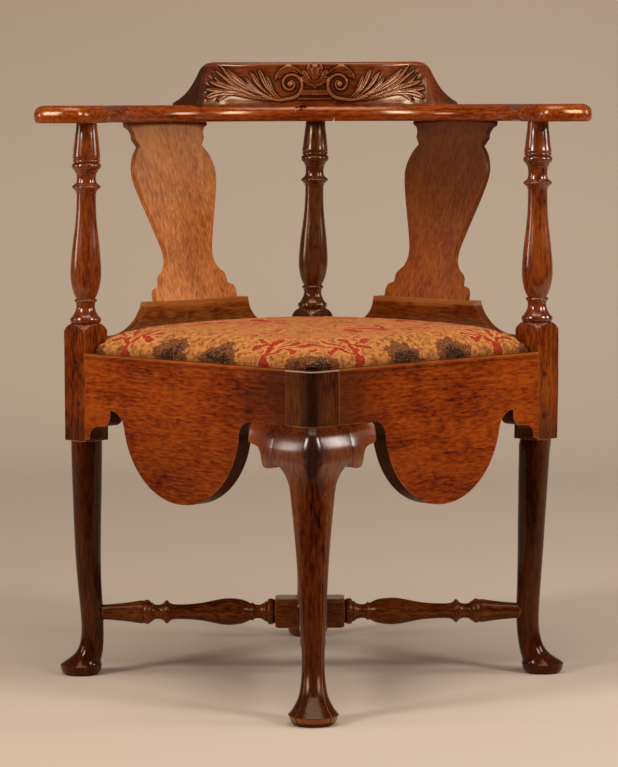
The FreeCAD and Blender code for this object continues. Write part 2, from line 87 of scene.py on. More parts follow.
# A Finish is one material, and each of its methods adds a node
class Finish:
    def __init__(self, name):
        self.material = bpy.data.materials.new(name)
        self.material.use_nodes = True
        self.tree = self.material.node_tree
        self.tree.nodes.clear()

    # Any node: its type, its settings (a ramp's stops among them), then values or links by socket
    def node(self, kind, settings, inputs, output=0):
        made = self.tree.nodes.new(kind)
        for key, value in settings.items():
            if key == "stops":
                ramp = made.color_ramp.elements
                while len(ramp) < len(value):
                    ramp.new(1.0)
                for element, (position, colour) in zip(ramp, value):
                    element.position = position
                    element.color = (*colour, 1)
            else:
                setattr(made, key, value)
        for key, value in inputs.items():
            if isinstance(value, Signal):
                self.tree.links.new(value.socket, made.inputs[key])
            else:
                made.inputs[key].default_value = value
        return Signal(self, made.outputs[output])

    def maths(self, operation, *values):
        return self.node("ShaderNodeMath", {"operation": operation}, dict(enumerate(values)))

    def vectorMaths(self, operation, *values, output=0):
        return self.node("ShaderNodeVectorMath", {"operation": operation}, dict(enumerate(values)),
                         output)

    # 0 below the first edge, 1 above the second, and smooth between
    def step(self, value, low, high):
        return self.node("ShaderNodeMapRange", {"interpolation_type": "SMOOTHSTEP"},
                         {"Value": value, "From Min": low, "From Max": high})

    # 1 within a band, given the two edges of its rise and the two of its fall
    def band(self, value, rise, fall):
        return self.step(value, *rise) * (1 - self.step(value, *fall))

    def mix(self, factor, first, second):
        sockets = {6: first, 7: second}
        colours = {key: (*value, 1.0) if isinstance(value, tuple) else value
                   for key, value in sockets.items()}
        return self.node("ShaderNodeMix", {"data_type": "RGBA"}, {"Factor": factor, **colours}, 2)

    # A colour with stains, painted light and painted shade laid over it in turn, each a mask, its
    # strength and its colour
    def stainsAndPaintedLight(self, colour, *marks):
        for mask, strength, tone in marks:
            colour = self.mix(mask * strength, colour, tone)
        return colour

    def stretched(self, vector, scale, place=(0, 0, 0)):
        return self.node("ShaderNodeMapping", {},
                         {"Vector": vector, "Location": place, "Scale": scale})

    def noise(self, vector, scale, detail=3.0, rough=0.5, warp=0.0, output=0):
        return self.node("ShaderNodeTexNoise", {},
                         {"Vector": vector, "Scale": scale, "Detail": detail, "Roughness": rough,
                          "Distortion": warp}, output)

    def objectSpace(self):
        return self.node("ShaderNodeTexCoord", {}, {}, 3)

    # A point as seen along the seat's sides, which stand at 45 degrees
    def alongSides(self, vector):
        return self.node("ShaderNodeVectorRotate", {"rotation_type": "Z_AXIS"},
                         {"Vector": vector, "Angle": math.radians(45)})

    # How open a point is: low in a hollow, or beside a sharp edge if it looks inwards
    def nearness(self, distance, inward):
        return self.node("ShaderNodeAmbientOcclusion",
                         {"samples": 6, "inside": inward, "only_local": True},
                         {"Distance": distance}, 1)

    def split(self, vector):
        made = self.node("ShaderNodeSeparateXYZ", {}, {"Vector": vector})
        outputs = made.socket.node.outputs
        return [Signal(self, outputs[index]) for index in range(3)]

    def bump(self, height, strength, distance):
        return self.node("ShaderNodeBump", {},
                         {"Strength": strength, "Distance": distance, "Height": height})

    def surface(self, plain, **varying):
        shader = self.node("ShaderNodeBsdfPrincipled", {}, {**plain, **varying})
        out = self.tree.nodes.new("ShaderNodeOutputMaterial")
        self.tree.links.new(shader.socket, out.inputs["Surface"])
        return self.material


# Polished mahogany, cut from solid: the grain runs through the piece along one direction, or round
# the arms' curve, where an angle counts as the arc that it spans at the arm's middle radius
grainTurn = {
    "upright": (0, 0, 0),
    "leftSide": (0, math.radians(90), math.radians(-45)),
    "rightSide": (0, math.radians(90), math.radians(45)),
    "acrossX": (0, math.radians(90), 0),
    "alongY": (math.radians(90), 0, 0)}

# The wood's noises: how short each is drawn along the grain, which way a wood's seed moves it, then
# its scale, detail, roughness and warp
woodNoises = {
    "figure": (0.13, (1, 0, 0), 30, 3, 0.5, 0.6),
    "streaks": (0.035, (0, 1, 0), 230, 4, 0.6, 0.3),
    "pores": (0.05, (0, 0, 1), 1500, 2, 0.5),
    "flecks": (0.2, (1, 1, 0), 330, 3, 0.6)}
woodLook = {
    "armRadius": 0.295, "stops": (0.36, 0.47, 0.60), "deep": 0.35, "sawn": (0.014, 0.004, 0.0012),
    "waxAndShade": (0.010, 0.0025, 0.0008), "wornAndHighlit": (0.52, 0.17, 0.035), "quirk": 0.009,
    "arris": 0.0022, "coatRise": 0.03, "coatFall": 0.004, "tint": (1.0, 0.66, 0.38, 1.0),
    "bump": 0.0006}


def grainSpace(sheet, space, grain):
    if grain != "curved":
        return sheet.node("ShaderNodeVectorRotate", {"rotation_type": "EULER_XYZ", "invert": True},
                          {"Vector": space, "Rotation": grainTurn[grain]})
    x, y, z = sheet.split(space)
    y = y - yShift * mm
    fromCentre = sheet.node("ShaderNodeCombineXYZ", {}, {"X": x, "Y": y})
    radius = sheet.vectorMaths("LENGTH", fromCentre, output=1)
    arc = sheet.maths("ARCTAN2", x, y) * woodLook["armRadius"]
    return sheet.node("ShaderNodeCombineXYZ", {}, {"X": radius, "Y": z, "Z": arc})


# A wood is given by its tones and its grain, how dull (gloss) and how reflecting (polish) it is, how
# far its edges are worn and painted with a highlight, and how deep its pores are. A face's direction
# gives painted shade to the edges beside it, two heights bound a coat of wax, and a shade is a
# function that changes the colour.
def mahogany(name, dark, middle, light, grain="upright", seed=0.0, gloss=0.34, polish=0.3,
             wear=0.5, relief=0.18, face=None, waxed=None, shade=None):
    sheet = Finish(name)
    space = sheet.objectSpace()
    wood = grainSpace(sheet, space, grain)
    noises = {}
    for key, (drawn, way, *values) in woodNoises.items():
        place = tuple(seed * share for share in way)
        noises[key] = sheet.noise(sheet.stretched(wood, (1, 1, drawn), place), *values)
    patina = sheet.noise(sheet.stretched(space, (1, 1, 1), (seed, seed, 0)), 9, 4, 0.6, 0.4)
    tone = ((noises["figure"] + noises["streaks"]) * 0.25 + patina * 0.3
            + noises["flecks"] * 0.55 - 0.175)
    colour = sheet.node("ShaderNodeValToRGB",
                        {"stops": list(zip(woodLook["stops"], (dark, middle, light)))}, {"Fac": tone})
    knocks = sheet.step(sheet.noise(space, 75, 1, 0.5), 0.70, 0.76)
    pore = sheet.step(noises["pores"], 0.60, 0.70)
    deep = tuple(channel * woodLook["deep"] for channel in dark)
    colour = sheet.stainsAndPaintedLight(colour, (knocks, 0.5, dark), (pore, 0.55, deep))
    if shade is not None:
        colour = shade(sheet, space, colour)
    # Edges square to the broad face take little light, so they get painted shade
    if face is not None:
        normal = sheet.node("ShaderNodeTexCoord", {}, {}, 1)
        facing = sheet.maths("ABSOLUTE", sheet.vectorMaths("DOT_PRODUCT", normal, face, output=1))
        colour = sheet.stainsAndPaintedLight(colour, (1 - sheet.step(facing, 0.45, 0.85), 0.8, woodLook["sawn"]))
    # Old wax and painted shade lie dark in the quirks and joints, and the sharp edges are rubbed
    # lighter, with a painted highlight on them
    quirk = 1 - sheet.nearness(woodLook["quirk"], False)
    arris = 1 - sheet.nearness(woodLook["arris"], True)
    wornAndHighlit = sheet.step(arris, 0.22, 0.5) * sheet.step(patina, 0.40, 0.58)
    colour = sheet.stainsAndPaintedLight(colour, (sheet.step(quirk, 0.12, 0.62), 0.85, woodLook["waxAndShade"]),
                           (wornAndHighlit, wear, woodLook["wornAndHighlit"]))
    roughness = gloss + (patina - 0.5) * 0.2 + pore * 0.1 - wornAndHighlit * 0.12
    pits = noises["streaks"] * 0.35 - pore * 0.5
    links = {"Base Color": colour, "Roughness": roughness,
             "Normal": sheet.bump(pits, relief, woodLook["bump"])}
    if waxed is not None:
        low, high = waxed
        thick = 1 - sheet.step(patina, 0.42, 0.62) * 0.4
        links["Coat Weight"] = thick * sheet.band(sheet.split(space)[2],
                                                  (low, low + woodLook["coatRise"]),
                                                  (high, high + woodLook["coatFall"]))
    return sheet.surface({"Specular IOR Level": polish, "Specular Tint": woodLook["tint"],
                          "Coat Roughness": gloss}, **links)


# Each wood's tones: its middle colour, with a darker and a lighter one either side
def tones(middle, spread):
    darker, lighter = (1.0, 1.3, 1.5), (1.0, 1.7, 2.0)
    dark = tuple(channel * (1 - spread) ** power for channel, power in zip(middle, darker))
    light = tuple(channel * (1 + spread) ** power for channel, power in zip(middle, lighter))
    return {"dark": dark, "middle": middle, "light": light}


# A shade by height alone: each mark starts at one height, in metres, is full at another, and has a
# strength and a colour
def heightShade(*marks):
    def shade(sheet, space, colour):
        z = sheet.split(space)[2]
        for start, full, strength, tone in marks:
            above = sheet.step(z, min(start, full), max(start, full))
            colour = sheet.mix((above if full > start else 1 - above) * strength, colour, tone)
        return colour
    return shade


# The front leg is darkest along its front corner and at its foot. It is worn orange at the brackets'
# noses, below the knee and under the edge of the foot, and on the knee and the noses the orange also
# holds a painted warm sheen. The stile's top edge carries a painted highlight.
def kneeShade(sheet, space, colour):
    x, _, z = sheet.split(space)
    away = sheet.maths("ABSOLUTE", x) + (sheet.noise(space, 45, 3, 0.6) - 0.5) * 0.02
    high = sheet.step(z, 0.27, 0.32)
    grain = sheet.noise(sheet.stretched(space, (1, 1, 0.35)), 190, 4, 0.65)
    belowKnee = (sheet.step(away, 0.008, 0.018) * sheet.band(z, (0.17, 0.26), (0.325, 0.345))
                 * (0.25 + sheet.step(grain, 0.42, 0.58) * 0.75))
    ragged = z + (sheet.noise(space, 160, 2, 0.6) - 0.5) * 0.003
    return sheet.stainsAndPaintedLight(
        colour,
        ((1 - sheet.step(away, 0.003, 0.020)) * high, 0.75, (0.010, 0.003, 0.001)),
        (sheet.step(away, 0.045, 0.080) * high, 0.65, (0.30, 0.050, 0.004)),
        # painted highlight along the stile's top edge
        (sheet.band(z, (0.4186, 0.4194), (0.4203, 0.4207)), 0.7, (0.65, 0.42, 0.30)),
        (belowKnee, 0.5, (0.26, 0.050, 0.005)),
        (1 - sheet.step(z, 0.05, 0.16), 0.45, (0.010, 0.002, 0.0005)),
        (sheet.band(ragged, (0.0045, 0.0055), (0.0105, 0.0115)), 0.6, (0.34, 0.10, 0.02)))


# The rails darken towards the chair's middle and downwards, more so on the left, and their worn top
# edge carries a painted highlight over a dark line of painted shade
def railShade(sheet, space, colour):
    x, _, z = sheet.split(space)
    away = sheet.maths("ABSOLUTE", x) + (sheet.noise(space, 30, 3, 0.6) - 0.5) * 0.05
    low = (1 - sheet.step(z, 0.28, 0.37)) * (0.12 + sheet.step(x * -1.0, 0.0, 0.1) * 0.16)
    shadow = (0.03, 0.005, 0.001)
    return sheet.stainsAndPaintedLight(
        colour,
        (1 - sheet.step(away, 0.035, 0.105), 0.72, (0.035, 0.007, 0.001)),
        (low, 1.0, shadow),
        # a dark line of painted shade under a painted highlight on the top edge
        (sheet.band(z, (0.4125, 0.4145), (0.4165, 0.4180)), 0.4, shadow),
        (sheet.step(z, 0.4180, 0.4192), 0.5, (0.45, 0.10, 0.012)))


# Wax, dust and painted shade lie dark in the carving's sunk ground, and the tops of the leaves are
# rubbed lighter. The crest's end faces, cut square to the carved one, carry painted shade, darkest
# on the left.
def carvedShade(sheet, space, colour):
    depth = sheet.node("ShaderNodeAttribute", {"attribute_name": "carvedDepth"}, {}, 2)
    x, _, z = sheet.split(space)
    out, slope, endShade = x - 0.0068, (z - 0.739) * 0.14, (0.030, 0.007, 0.002)
    return sheet.stainsAndPaintedLight(
        colour,
        (sheet.step(out * -1.0 + slope, 0.1525, 0.1555), 0.85, endShade),
        (sheet.step(out + slope, 0.160, 0.185), 0.7, endShade),
        (sheet.step(depth * -1.0, 0.15, 0.85), 0.8, (0.02, 0.006, 0.002)),
        (sheet.step(depth, 1.3, 2.3), 0.45, (0.50, 0.18, 0.045)))


# Legs are darker below the seat. The shoes' fronts carry a painted highlight along the top and
# painted shade below, and the splats carry painted shade towards their tops, under the arms.
postShade = heightShade((0.37, 0.29, 0.76, (0.006, 0.001, 0.0004)))
shoeShade = heightShade((0.474, 0.440, 0.5, (0.03, 0.006, 0.001)),
                        (0.4735, 0.4750, 0.6, (0.40, 0.12, 0.02)))
splatLeftShade = heightShade((0.56, 0.72, 0.4, (0.05, 0.022, 0.010)))
splatRightShade = heightShade((0.46, 0.70, 0.72, (0.03, 0.009, 0.003)))

# Each wood: its middle tone and their spread, the grain and its seed, and what differs in its look
railTone, stretcherTone = (0.215, 0.024, 0.0004), (0.085, 0.014, 0.0012)
railLook = {"wear": 0.8, "polish": 0.12, "shade": railShade}
woodTable = {
    "RailLeft": (railTone, 0.75, "leftSide", 1.3, {"face": (-0.7071, -0.7071, 0.0), **railLook}),
    "RailRight": (railTone, 0.75, "rightSide", 4.1, {"face": (0.7071, -0.7071, 0.0), **railLook}),
    "ShoeLeft": ((0.230, 0.050, 0.006), 0.6, "rightSide", 3.3, {"shade": shoeShade}),
    "ShoeRight": ((0.150, 0.024, 0.002), 0.6, "leftSide", 2.6, {"shade": shoeShade}),
    "Pegs": ((0.05, 0.008, 0.001), 0.5, "upright", 2.2, {"wear": 0.0}),
    "Posts": ((0.150, 0.019, 0.001), 0.8, "upright", 7.9,
              {"gloss": 0.16, "wear": 0.7, "relief": 0.05, "waxed": (0.44, 1.0), "shade": postShade}),
    "BackPost": ((0.070, 0.012, 0.002), 0.7, "upright", 6.6,
                 {"gloss": 0.16, "polish": 0.7, "relief": 0.05}),
    "Legs": ((0.066, 0.008, 0.0005), 0.85, "upright", 5.5,
             {"gloss": 0.22, "relief": 0.08, "waxed": (0.28, 0.342), "shade": kneeShade}),
    "SplatLeft": ((0.450, 0.122, 0.024), 0.42, "upright", 3.4,
                  {"gloss": 0.36, "polish": 0.25, "shade": splatLeftShade}),
    "SplatRight": ((0.23, 0.042, 0.005), 0.45, "upright", 9.9,
                   {"gloss": 0.36, "polish": 0.2, "shade": splatRightShade}),
    "Arms": ((0.215, 0.026, 0.0006), 0.7, "curved", 6.1,
             {"gloss": 0.18, "polish": 0.8, "wear": 0.2, "relief": 0.06}),
    "Crest": ((0.135, 0.018, 0.0015), 0.6, "curved", 2.9,
              {"gloss": 0.20, "polish": 0.7, "relief": 0.08, "shade": carvedShade}),
    "Stretchers": (stretcherTone, 0.75, "acrossX", 8.8, {"gloss": 0.20}),
    "StretcherDeep": (stretcherTone, 0.75, "alongY", 9.4, {"gloss": 0.20})}
woods = {key: mahogany("mahogany" + key, **tones(middle, spread), grain=grain, seed=seed, **look)
         for key, (middle, spread, grain, seed, look) in woodTable.items()}
pineWood = mahogany("pineInside", (0.30, 0.17, 0.07), (0.42, 0.26, 0.12), (0.52, 0.35, 0.18),
                    grain="leftSide", seed=0.7, gloss=0.62, polish=0.0)
print("materials made")


# Meshes. The CAD's triangles are joined where points are this close in metres and faces this near to
# one plane in degrees, and worn edges are bevelled where faces meet at more than an angle.
meshing = {"weld": 2e-6, "flat": 0.4, "bevelFrom": 28, "bevelSegments": 2}


def newPiece(name, mesh, body, material):
    piece = bpy.data.objects.new(name, mesh)
    scene.collection.objects.link(piece)
    mesh.materials.clear()
    mesh.materials.append(material)
    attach(piece, body)
    return piece


# Points of a smooth curve through a few given ones (each span a cubic with Catmull-Rom slopes)
def smoothCurve(points, perSpan=10):
    known = np.asarray(points, float)
    slopes = np.gradient(known, axis=0)
    t = np.linspace(0, 1, perSpan, endpoint=False)[None, :, None]
    a, b = known[:-1, None], known[1:, None]
    ma, mb = slopes[:-1, None], slopes[1:, None]
    curve = ((2 * t**3 - 3 * t**2 + 1) * a + (t**3 - 2 * t**2 + t) * ma
             + (3 * t**2 - 2 * t**3) * b + (t**3 - t**2) * mb)
    return np.concatenate([curve.reshape(-1, known.shape[1]), known[-1:]])


# Points evenly spaced along a run of straight pieces
def evenly(points, count):
    points = np.asarray(points, float)
    along = np.concatenate([[0], np.cumsum(np.linalg.norm(np.diff(points, axis=0), axis=1))])
    at = np.linspace(0, along[-1], count)
    return np.stack([np.interp(at, along, points[:, k]) for k in range(points.shape[1])], -1)


# The rails' directions stand at 45 degrees. Points given along them are turned and moved into the
# frame, and points of the frame are given back along them in mm.
frontLeftTurn = math.radians(-45)


def seatPlace(u, v, z):
    x = u * math.cos(frontLeftTurn) - v * math.sin(frontLeftTurn)
    y = u * math.sin(frontLeftTurn) + v * math.cos(frontLeftTurn) + yShift
    return np.stack([x, y, z + 0 * x], -1) * mm


def alongRails(points):
    x, y = points[:, 0] / mm, points[:, 1] / mm - yShift
    u = x * math.cos(frontLeftTurn) + y * math.sin(frontLeftTurn)
    v = -x * math.sin(frontLeftTurn) + y * math.cos(frontLeftTurn)
    return u, v, points[:, 2] / mm


def meshPoints(mesh):
    points = np.zeros(len(mesh.vertices) * 3, np.float32)
    mesh.vertices.foreach_get("co", points)
    return points.reshape(-1, 3).astype(float)


def setPoints(mesh, points):
    mesh.vertices.foreach_set("co", points.reshape(-1).astype(np.float32))
    mesh.update()
    return mesh


# A mesh with every point moved along x by a function (in mm) of where the points are
def shifted(mesh, shift):
    points = meshPoints(mesh)
    points[:, 0] += shift(points / mm) * mm
    return setPoints(mesh, points)


# Turns every face of a closed mesh to point outwards
def outwards(mesh):
    work = bmesh.new()
    work.from_mesh(mesh)
    bmesh.ops.recalc_face_normals(work, faces=work.faces)
    work.to_mesh(mesh)
    work.free()
    return mesh


# A mesh of quads from rows and columns of points, either of which may close round, and end caps
def gridMesh(name, grid, rowsClose=False, columnsClose=False, caps=()):
    count, wide = grid.shape[:2]
    r, c = np.meshgrid(np.arange(count if rowsClose else count - 1),
                       np.arange(wide if columnsClose else wide - 1), indexing="ij")
    up, on = (r + 1) % count, (c + 1) % wide
    quads = np.stack([r * wide + c, up * wide + c, up * wide + on, r * wide + on], -1)
    mesh = bpy.data.meshes.new(name)
    mesh.from_pydata(grid.reshape(-1, 3).tolist(), [], quads.reshape(-1, 4).tolist() + list(caps))
    return mesh


# A mesh from rows of points that close round, with its two ends filled
def tubeMesh(name, grid):
    count, wide = grid.shape[:2]
    ends = [list(range(wide)), list(range((count - 1) * wide, count * wide))]
    return outwards(gridMesh(name, grid, columnsClose=True, caps=ends))


# Turned work: a profile of (radius, distance) spun about an axis through a place. Each list in the
# profile is one smooth curve, and the curves meet in crisp edges.
def turned(name, profile, place, axis, sides=72):
    runs = [smoothCurve(run, 4) if len(run) > 2 else np.array(run, float) for run in profile]
    line = np.concatenate(runs)
    line = line[np.append(True, np.linalg.norm(np.diff(line, axis=0), axis=1) > 0.02)]
    angle = np.linspace(0, 2 * math.pi, sides, endpoint=False)[None, :]
    radius, along = line[:, :1], line[:, 1:] + 0 * angle
    spun = {"x": (along, radius * np.cos(angle), radius * np.sin(angle)),
            "y": (radius * np.cos(angle), along, radius * np.sin(angle)),
            "z": (radius * np.cos(angle), radius * np.sin(angle), along)}[axis]
    return tubeMesh(name, (np.stack(spun, -1) + np.array(place)) * mm)


# One mesh made of several, each a closed shell of its own
def merged(name, parts):
    work = bmesh.new()
    for part in parts:
        work.from_mesh(part)
    mesh = bpy.data.meshes.new(name)
    work.to_mesh(mesh)
    work.free()
    return mesh


# A copy of a node's mesh with its triangles joined, and what lies beyond any of the cuts (a point in
# mm and the way that is cleared) taken off
def joinedMesh(node, name, cuts=()):
    work = bmesh.new()
    work.from_mesh(nodes[node].data)
    bmesh.ops.remove_doubles(work, verts=work.verts, dist=meshing["weld"])
    bmesh.ops.dissolve_limit(work, angle_limit=math.radians(meshing["flat"]), verts=work.verts,
                             edges=work.edges)
    for place, cleared in cuts:
        bmesh.ops.bisect_plane(work, geom=work.verts[:] + work.edges[:] + work.faces[:],
                               plane_co=Vector(place) * mm, plane_no=cleared, clear_outer=True)
        bmesh.ops.holes_fill(work, edges=[edge for edge in work.edges if edge.is_boundary])
    mesh = bpy.data.meshes.new(name)
    work.to_mesh(mesh)
    work.free()
    if "custom_normal" in mesh.attributes:
        mesh.attributes.remove(mesh.attributes["custom_normal"])
    return mesh


# A piece of the chair that takes a node's place, its corners crisp where faces meet at more than the
# sharp angle, and bevelled by the width given in metres
def woodPiece(node, name, mesh, material, soften=0.0, sharpAngle=32):
    mesh.shade_smooth()
    mesh.set_sharp_from_angle(angle=math.radians(sharpAngle))
    piece = newPiece(name, mesh, "frame", material)
    if soften:
        bevel = piece.modifiers.new("worn edges", "BEVEL")
        bevel.width = soften
        bevel.segments = meshing["bevelSegments"]
        bevel.limit_method = "ANGLE"
        bevel.angle_limit = math.radians(meshing["bevelFrom"])
        bevel.harden_normals = True
    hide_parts(node)


# Flat pieces keep the CAD's shape, with worn edges: each wood and the edges' width
flatPieces = {
    "front_left_rail": ("RailLeft", 0.0014), "front_right_rail": ("RailRight", 0.0014),
    "back_left_rail": ("RailRight", 0.0012), "back_right_rail": ("RailLeft", 0.0012),
    "left_splat": ("SplatLeft", 0.0008), "right_splat": ("SplatRight", 0.0008),
    "left_shoe": ("ShoeLeft", 0.0010), "right_shoe": ("ShoeRight", 0.0010)}
for node, (wood, soften) in flatPieces.items():
    first, *others = node.split("_")
    name = first + "".join(word.capitalize() for word in others)
    woodPiece(node, name, joinedMesh(node, name), woods[wood], soften)


# Posts: the leg as in the CAD, and above it the block and a crisper turning. Heights are in mm, and
# each post has the heights of its two upper rings. Nothing in an old chair stands quite upright: a
# lean is how far a post is out along x at each of some heights.
post = {"reach": 292.0, "blockBottom": 306.9, "blockHalf": 20.0, "armUnderside": 716.4,
        "tenonTop": 731.0, "tenonRadius": 10.0}
posts = {
    "left": {"place": (-post["reach"], yShift, 0), "rings": (634.3, 661.2), "wood": "Posts",
             "lean": ((457.5, 716.4), (0, 3.9))},
    "right": {"place": (post["reach"], yShift, 0), "rings": (637.5, 668.0), "wood": "Posts",
              "lean": ((0, 12, 35, 45, 56, 66, 98, 129, 150, 192, 234, 276, 300, 312, 457.5, 716.4),
                       (-1.5, -1.6, -3.4, -4.2, -5.2, -5.9, -7.2, -7.7, -7.6, -6.8, -5.2, -3.7, -3.0,
                        0, 0, 0.8))},
    "back": {"place": (0, post["reach"] + yShift, 0), "rings": (636.0, 665.5), "wood": "BackPost",
             "lean": ((0, 716.4), (-7.0, 7.6))}}


def postProfile(low, high):
    arm, radius = post["armUnderside"], post["tenonRadius"]
    return [
        [(17.5, 454), (18.2, 458)], [(18.2, 458), (19.6, 460.4), (20.3, 463.3), (19.4, 466.2)],
        [(17.7, 466.8), (15.4, 470.4), (13.2, 475), (12.1, 479.5), (12.5, 484), (12.9, 485.6)],
        [(14.0, 486.2), (14.9, 487.9), (14.0, 489.6)], [(12.6, 490.2), (12.7, 491.6)],
        [(12.9, 492), (15.5, 497), (18.3, 506.5), (19.8, 517), (20.1, 525), (19.7, 535),
         (18.3, 552), (16.4, 568), (14.6, 583), (13.3, 598), (12.7, 612), (12.5, low - 9)],
        [(13.3, low - 8.2), (13.3, low - 6.6)],
        [(14.0, low - 5.2), (16.6, low - 2.9), (18.6, low - 0.6), (18.4, low + 1.0),
         (16.4, low + 2.8), (14.2, low + 4.6)],
        [(13.2, low + 5.6), (12.4, low + 11), (12.9, high - 11), (13.9, high - 8.4)],
        [(15.0, high - 7.6), (15.0, high - 6.4)],
        [(15.6, high - 5.4), (17.9, high - 3.2), (18.9, high), (18.2, high + 2.7),
         (16.4, high + 4.2)],
        [(16.4, high + 4.9), (17.6, high + 5.6), (17.6, high + 7.6), (16.7, high + 8.3)],
        [(17.4, high + 9.3), (17.8, high + 11)],
        [(17.8, high + 11), (16.7, 684), (15.2, 698), (14.0, 707), (13.4, arm)],
        [(radius, arm), (radius, post["tenonTop"])]]


# A post's square block, its top rounded over in the lathe: the radius in each direction is the
# square's, which is half its side / cos(angle from a face), or the turned shoulder's if smaller
def postBlock(name, place):
    angle = np.linspace(0, 2 * math.pi, 96, endpoint=False)[None, :]
    square = post["blockHalf"] / np.cos(np.mod(angle, math.pi / 2) - math.pi / 4)
    shoulder = smoothCurve([(27.9, 449), (26.4, 451.8), (24.0, 454.8), (21.4, 457.0),
                            (19.4, 458.1), (17.5, 458.4)], 5)
    limit = np.concatenate([[(27.9, post["blockBottom"]), (27.9, 370), (27.9, 425)], shoulder])
    radius = np.minimum(square, limit[:, :1])
    points = np.stack([radius * np.cos(angle), radius * np.sin(angle),
                       limit[:, 1:] + 0 * angle], -1)
    return tubeMesh(name, (points + np.array(place)) * mm)


def postPiece(side, place, rings, wood, lean):
    node, name = side + "_post", side + "Post"
    leg = joinedMesh(node, name + "Leg", [((0, 0, post["blockBottom"]), (0, 0, 1))])
    upper = turned(name + "Turning", postProfile(*rings), place, "z")
    mesh = merged(name, [leg, postBlock(name + "Block", place), upper])
    shifted(mesh, lambda points: np.interp(points[:, 2], *lean))
    woodPiece(node, name, mesh, woods[wood])


for side, values in posts.items():
    postPiece(side, **values)


# Front leg: (height, half across the flats, radius of the front, side and back corners, how far the
# section's middle stands in front of the seat's). Brackets carry on the knee's flat faces.
frontLeg = {
    "knee": [
        (353, 27.2, 10, 2, 12, 285.4), (351.5, 28.2, 10, 2, 12, 286.2), (346, 30.7, 12, 2, 14, 290.3),
        (338, 32.7, 16, 2, 16, 293.2), (328, 34.2, 20, 2, 18, 295.3), (318, 34.8, 22, 2.5, 20, 295.9),
        (310, 34.4, 20, 4, 20, 296.6), (304, 30.4, 17, 8, 20, 301.0), (296, 27.4, 16, 12, 20, 303.8),
        (286, 25.0, 16, 14, 18, 305.4), (275, 23.6, 16, 14.5, 16, 306.4),
        (262, 22.9, 16, 15.5, 16, 307.4), (246, 21.9, 16.5, 16, 16.5, 309.6),
        (220, 20.5, 17, 17.3, 17, 312.5), (198, 19.3, 17.5, 17.5, 17.5, 314.8),
        (170, 18.0, 17.5, 17.5, 17.5, 317.3), (122, 15.9, 15.8, 15.8, 15.8, 321.2),
        (82, 13.9, 13.8, 13.8, 13.8, 324.9), (62, 13.9, 13.8, 13.8, 13.8, 328.0),
        (48, 14.9, 14.8, 14.8, 14.8, 332.0), (36, 16.8, 16.7, 16.7, 16.7, 337.0),
        (27, 20.0, 19.9, 19.9, 19.9, 342.0), (19, 24.8, 24.7, 24.7, 24.7, 346.6),
        (12, 30.5, 30.4, 30.4, 30.4, 349.0)],
    "sole": [(10.8, 30.0, 29.9, 29.9, 29.9, 349.0), (4.5, 27.6, 27.5, 27.5, 27.5, 349.0),
             (0, 24.0, 23.9, 23.9, 23.9, 349.0)],
    "stile": [(346, 23, 10, 0.4, 0.4, 287.77), (420.4, 23, 10, 0.4, 0.4, 287.77),
              (421, 22.6, 9.6, 0.4, 0.4, 287.77)],
    "bulge": 1.0, "railFace": 226.48}


# Rows of rounded squares standing on their corners. Each corner is an arc about a centre that lies
# on its diagonal, root two times (half - radius) out. Flats join the arcs, and the bulge swells each
# by 4 * share * (1 - share) of itself, where the share runs from 0 to 1 along it.
def squareRows(table, bulge=0.0, arcCount=9, flatPoints=7):
    height, half, front, side, back, reach = np.asarray(table, float).T[:, :, None]
    sweep = np.radians(np.linspace(-45, 45, arcCount))[None, :]
    arcs = []
    for degrees, radius in ((-90, front), (0, side), (90, back), (180, side)):
        out, turn = math.sqrt(2) * (half - radius), math.radians(degrees)
        arcs.append(np.stack([out * math.cos(turn) + radius * np.cos(turn + sweep),
                              out * math.sin(turn) + radius * np.sin(turn + sweep)], -1))
    share = np.linspace(0, 1, flatPoints + 2)[1:-1][None, :, None]
    columns = []
    for quarter, (arc, following) in enumerate(zip(arcs, arcs[1:] + arcs[:1])):
        outward = math.radians(90 * quarter - 45)
        swell = bulge * 4 * share * (1 - share) * np.array([math.cos(outward), math.sin(outward)])
        columns += [arc, arc[:, -1:] * (1 - share) + following[:, :1] * share + swell]
    x, y = np.moveaxis(np.concatenate(columns, 1), -1, 0)
    return np.stack([x, y - reach + yShift, height + 0 * x], -1) * mm


def frontLegPiece():
    rows = np.concatenate([smoothCurve(frontLeg["knee"], 8), np.asarray(frontLeg["sole"], float)])
    parts = [tubeMesh("frontLegBelow", squareRows(rows, frontLeg["bulge"])),
             tubeMesh("frontStile", squareRows(frontLeg["stile"]))]
    woodPiece("front_leg", "frontLeg", merged("frontLeg", parts), woods["Legs"])


# Knee brackets: (distance from the middle of the rail, height) along the upper and lower outline,
# from the nose to inside the knee. The face follows the knee's, and draws in towards the nose by a
# share that runs smoothly (3t^2 - 2t^3) up to the joint with the knee.
bracket = {
    "upper": [(120.3, 343.5), (120.8, 347), (122.5, 350.5), (126, 353), (192, 353)],
    "lower": [(120.3, 340.5), (121.0, 336), (123.0, 332), (126.5, 329.6), (134, 328.2), (140, 327.4),
              (146, 325.2), (150, 321.2), (152.6, 315.5), (154.0, 309), (155.0, 305.4), (157.5, 302.4),
              (162, 301.4), (169, 301.6), (175, 302.8), (183, 306.0), (192, 312)],
    "columns": [(120.3, 128, 16), (129, 174.3, 54), (174.7, 192, 16)], "rows": 26,
    "nose": 120.3, "noseRound": 4.0, "noseShare": 0.42, "noseThin": 0.35, "drawFrom": 120.0,
    "joint": 174.5, "jointStep": 0.6, "tuck": 0.06, "thin": 2.5, "back": -20.0}


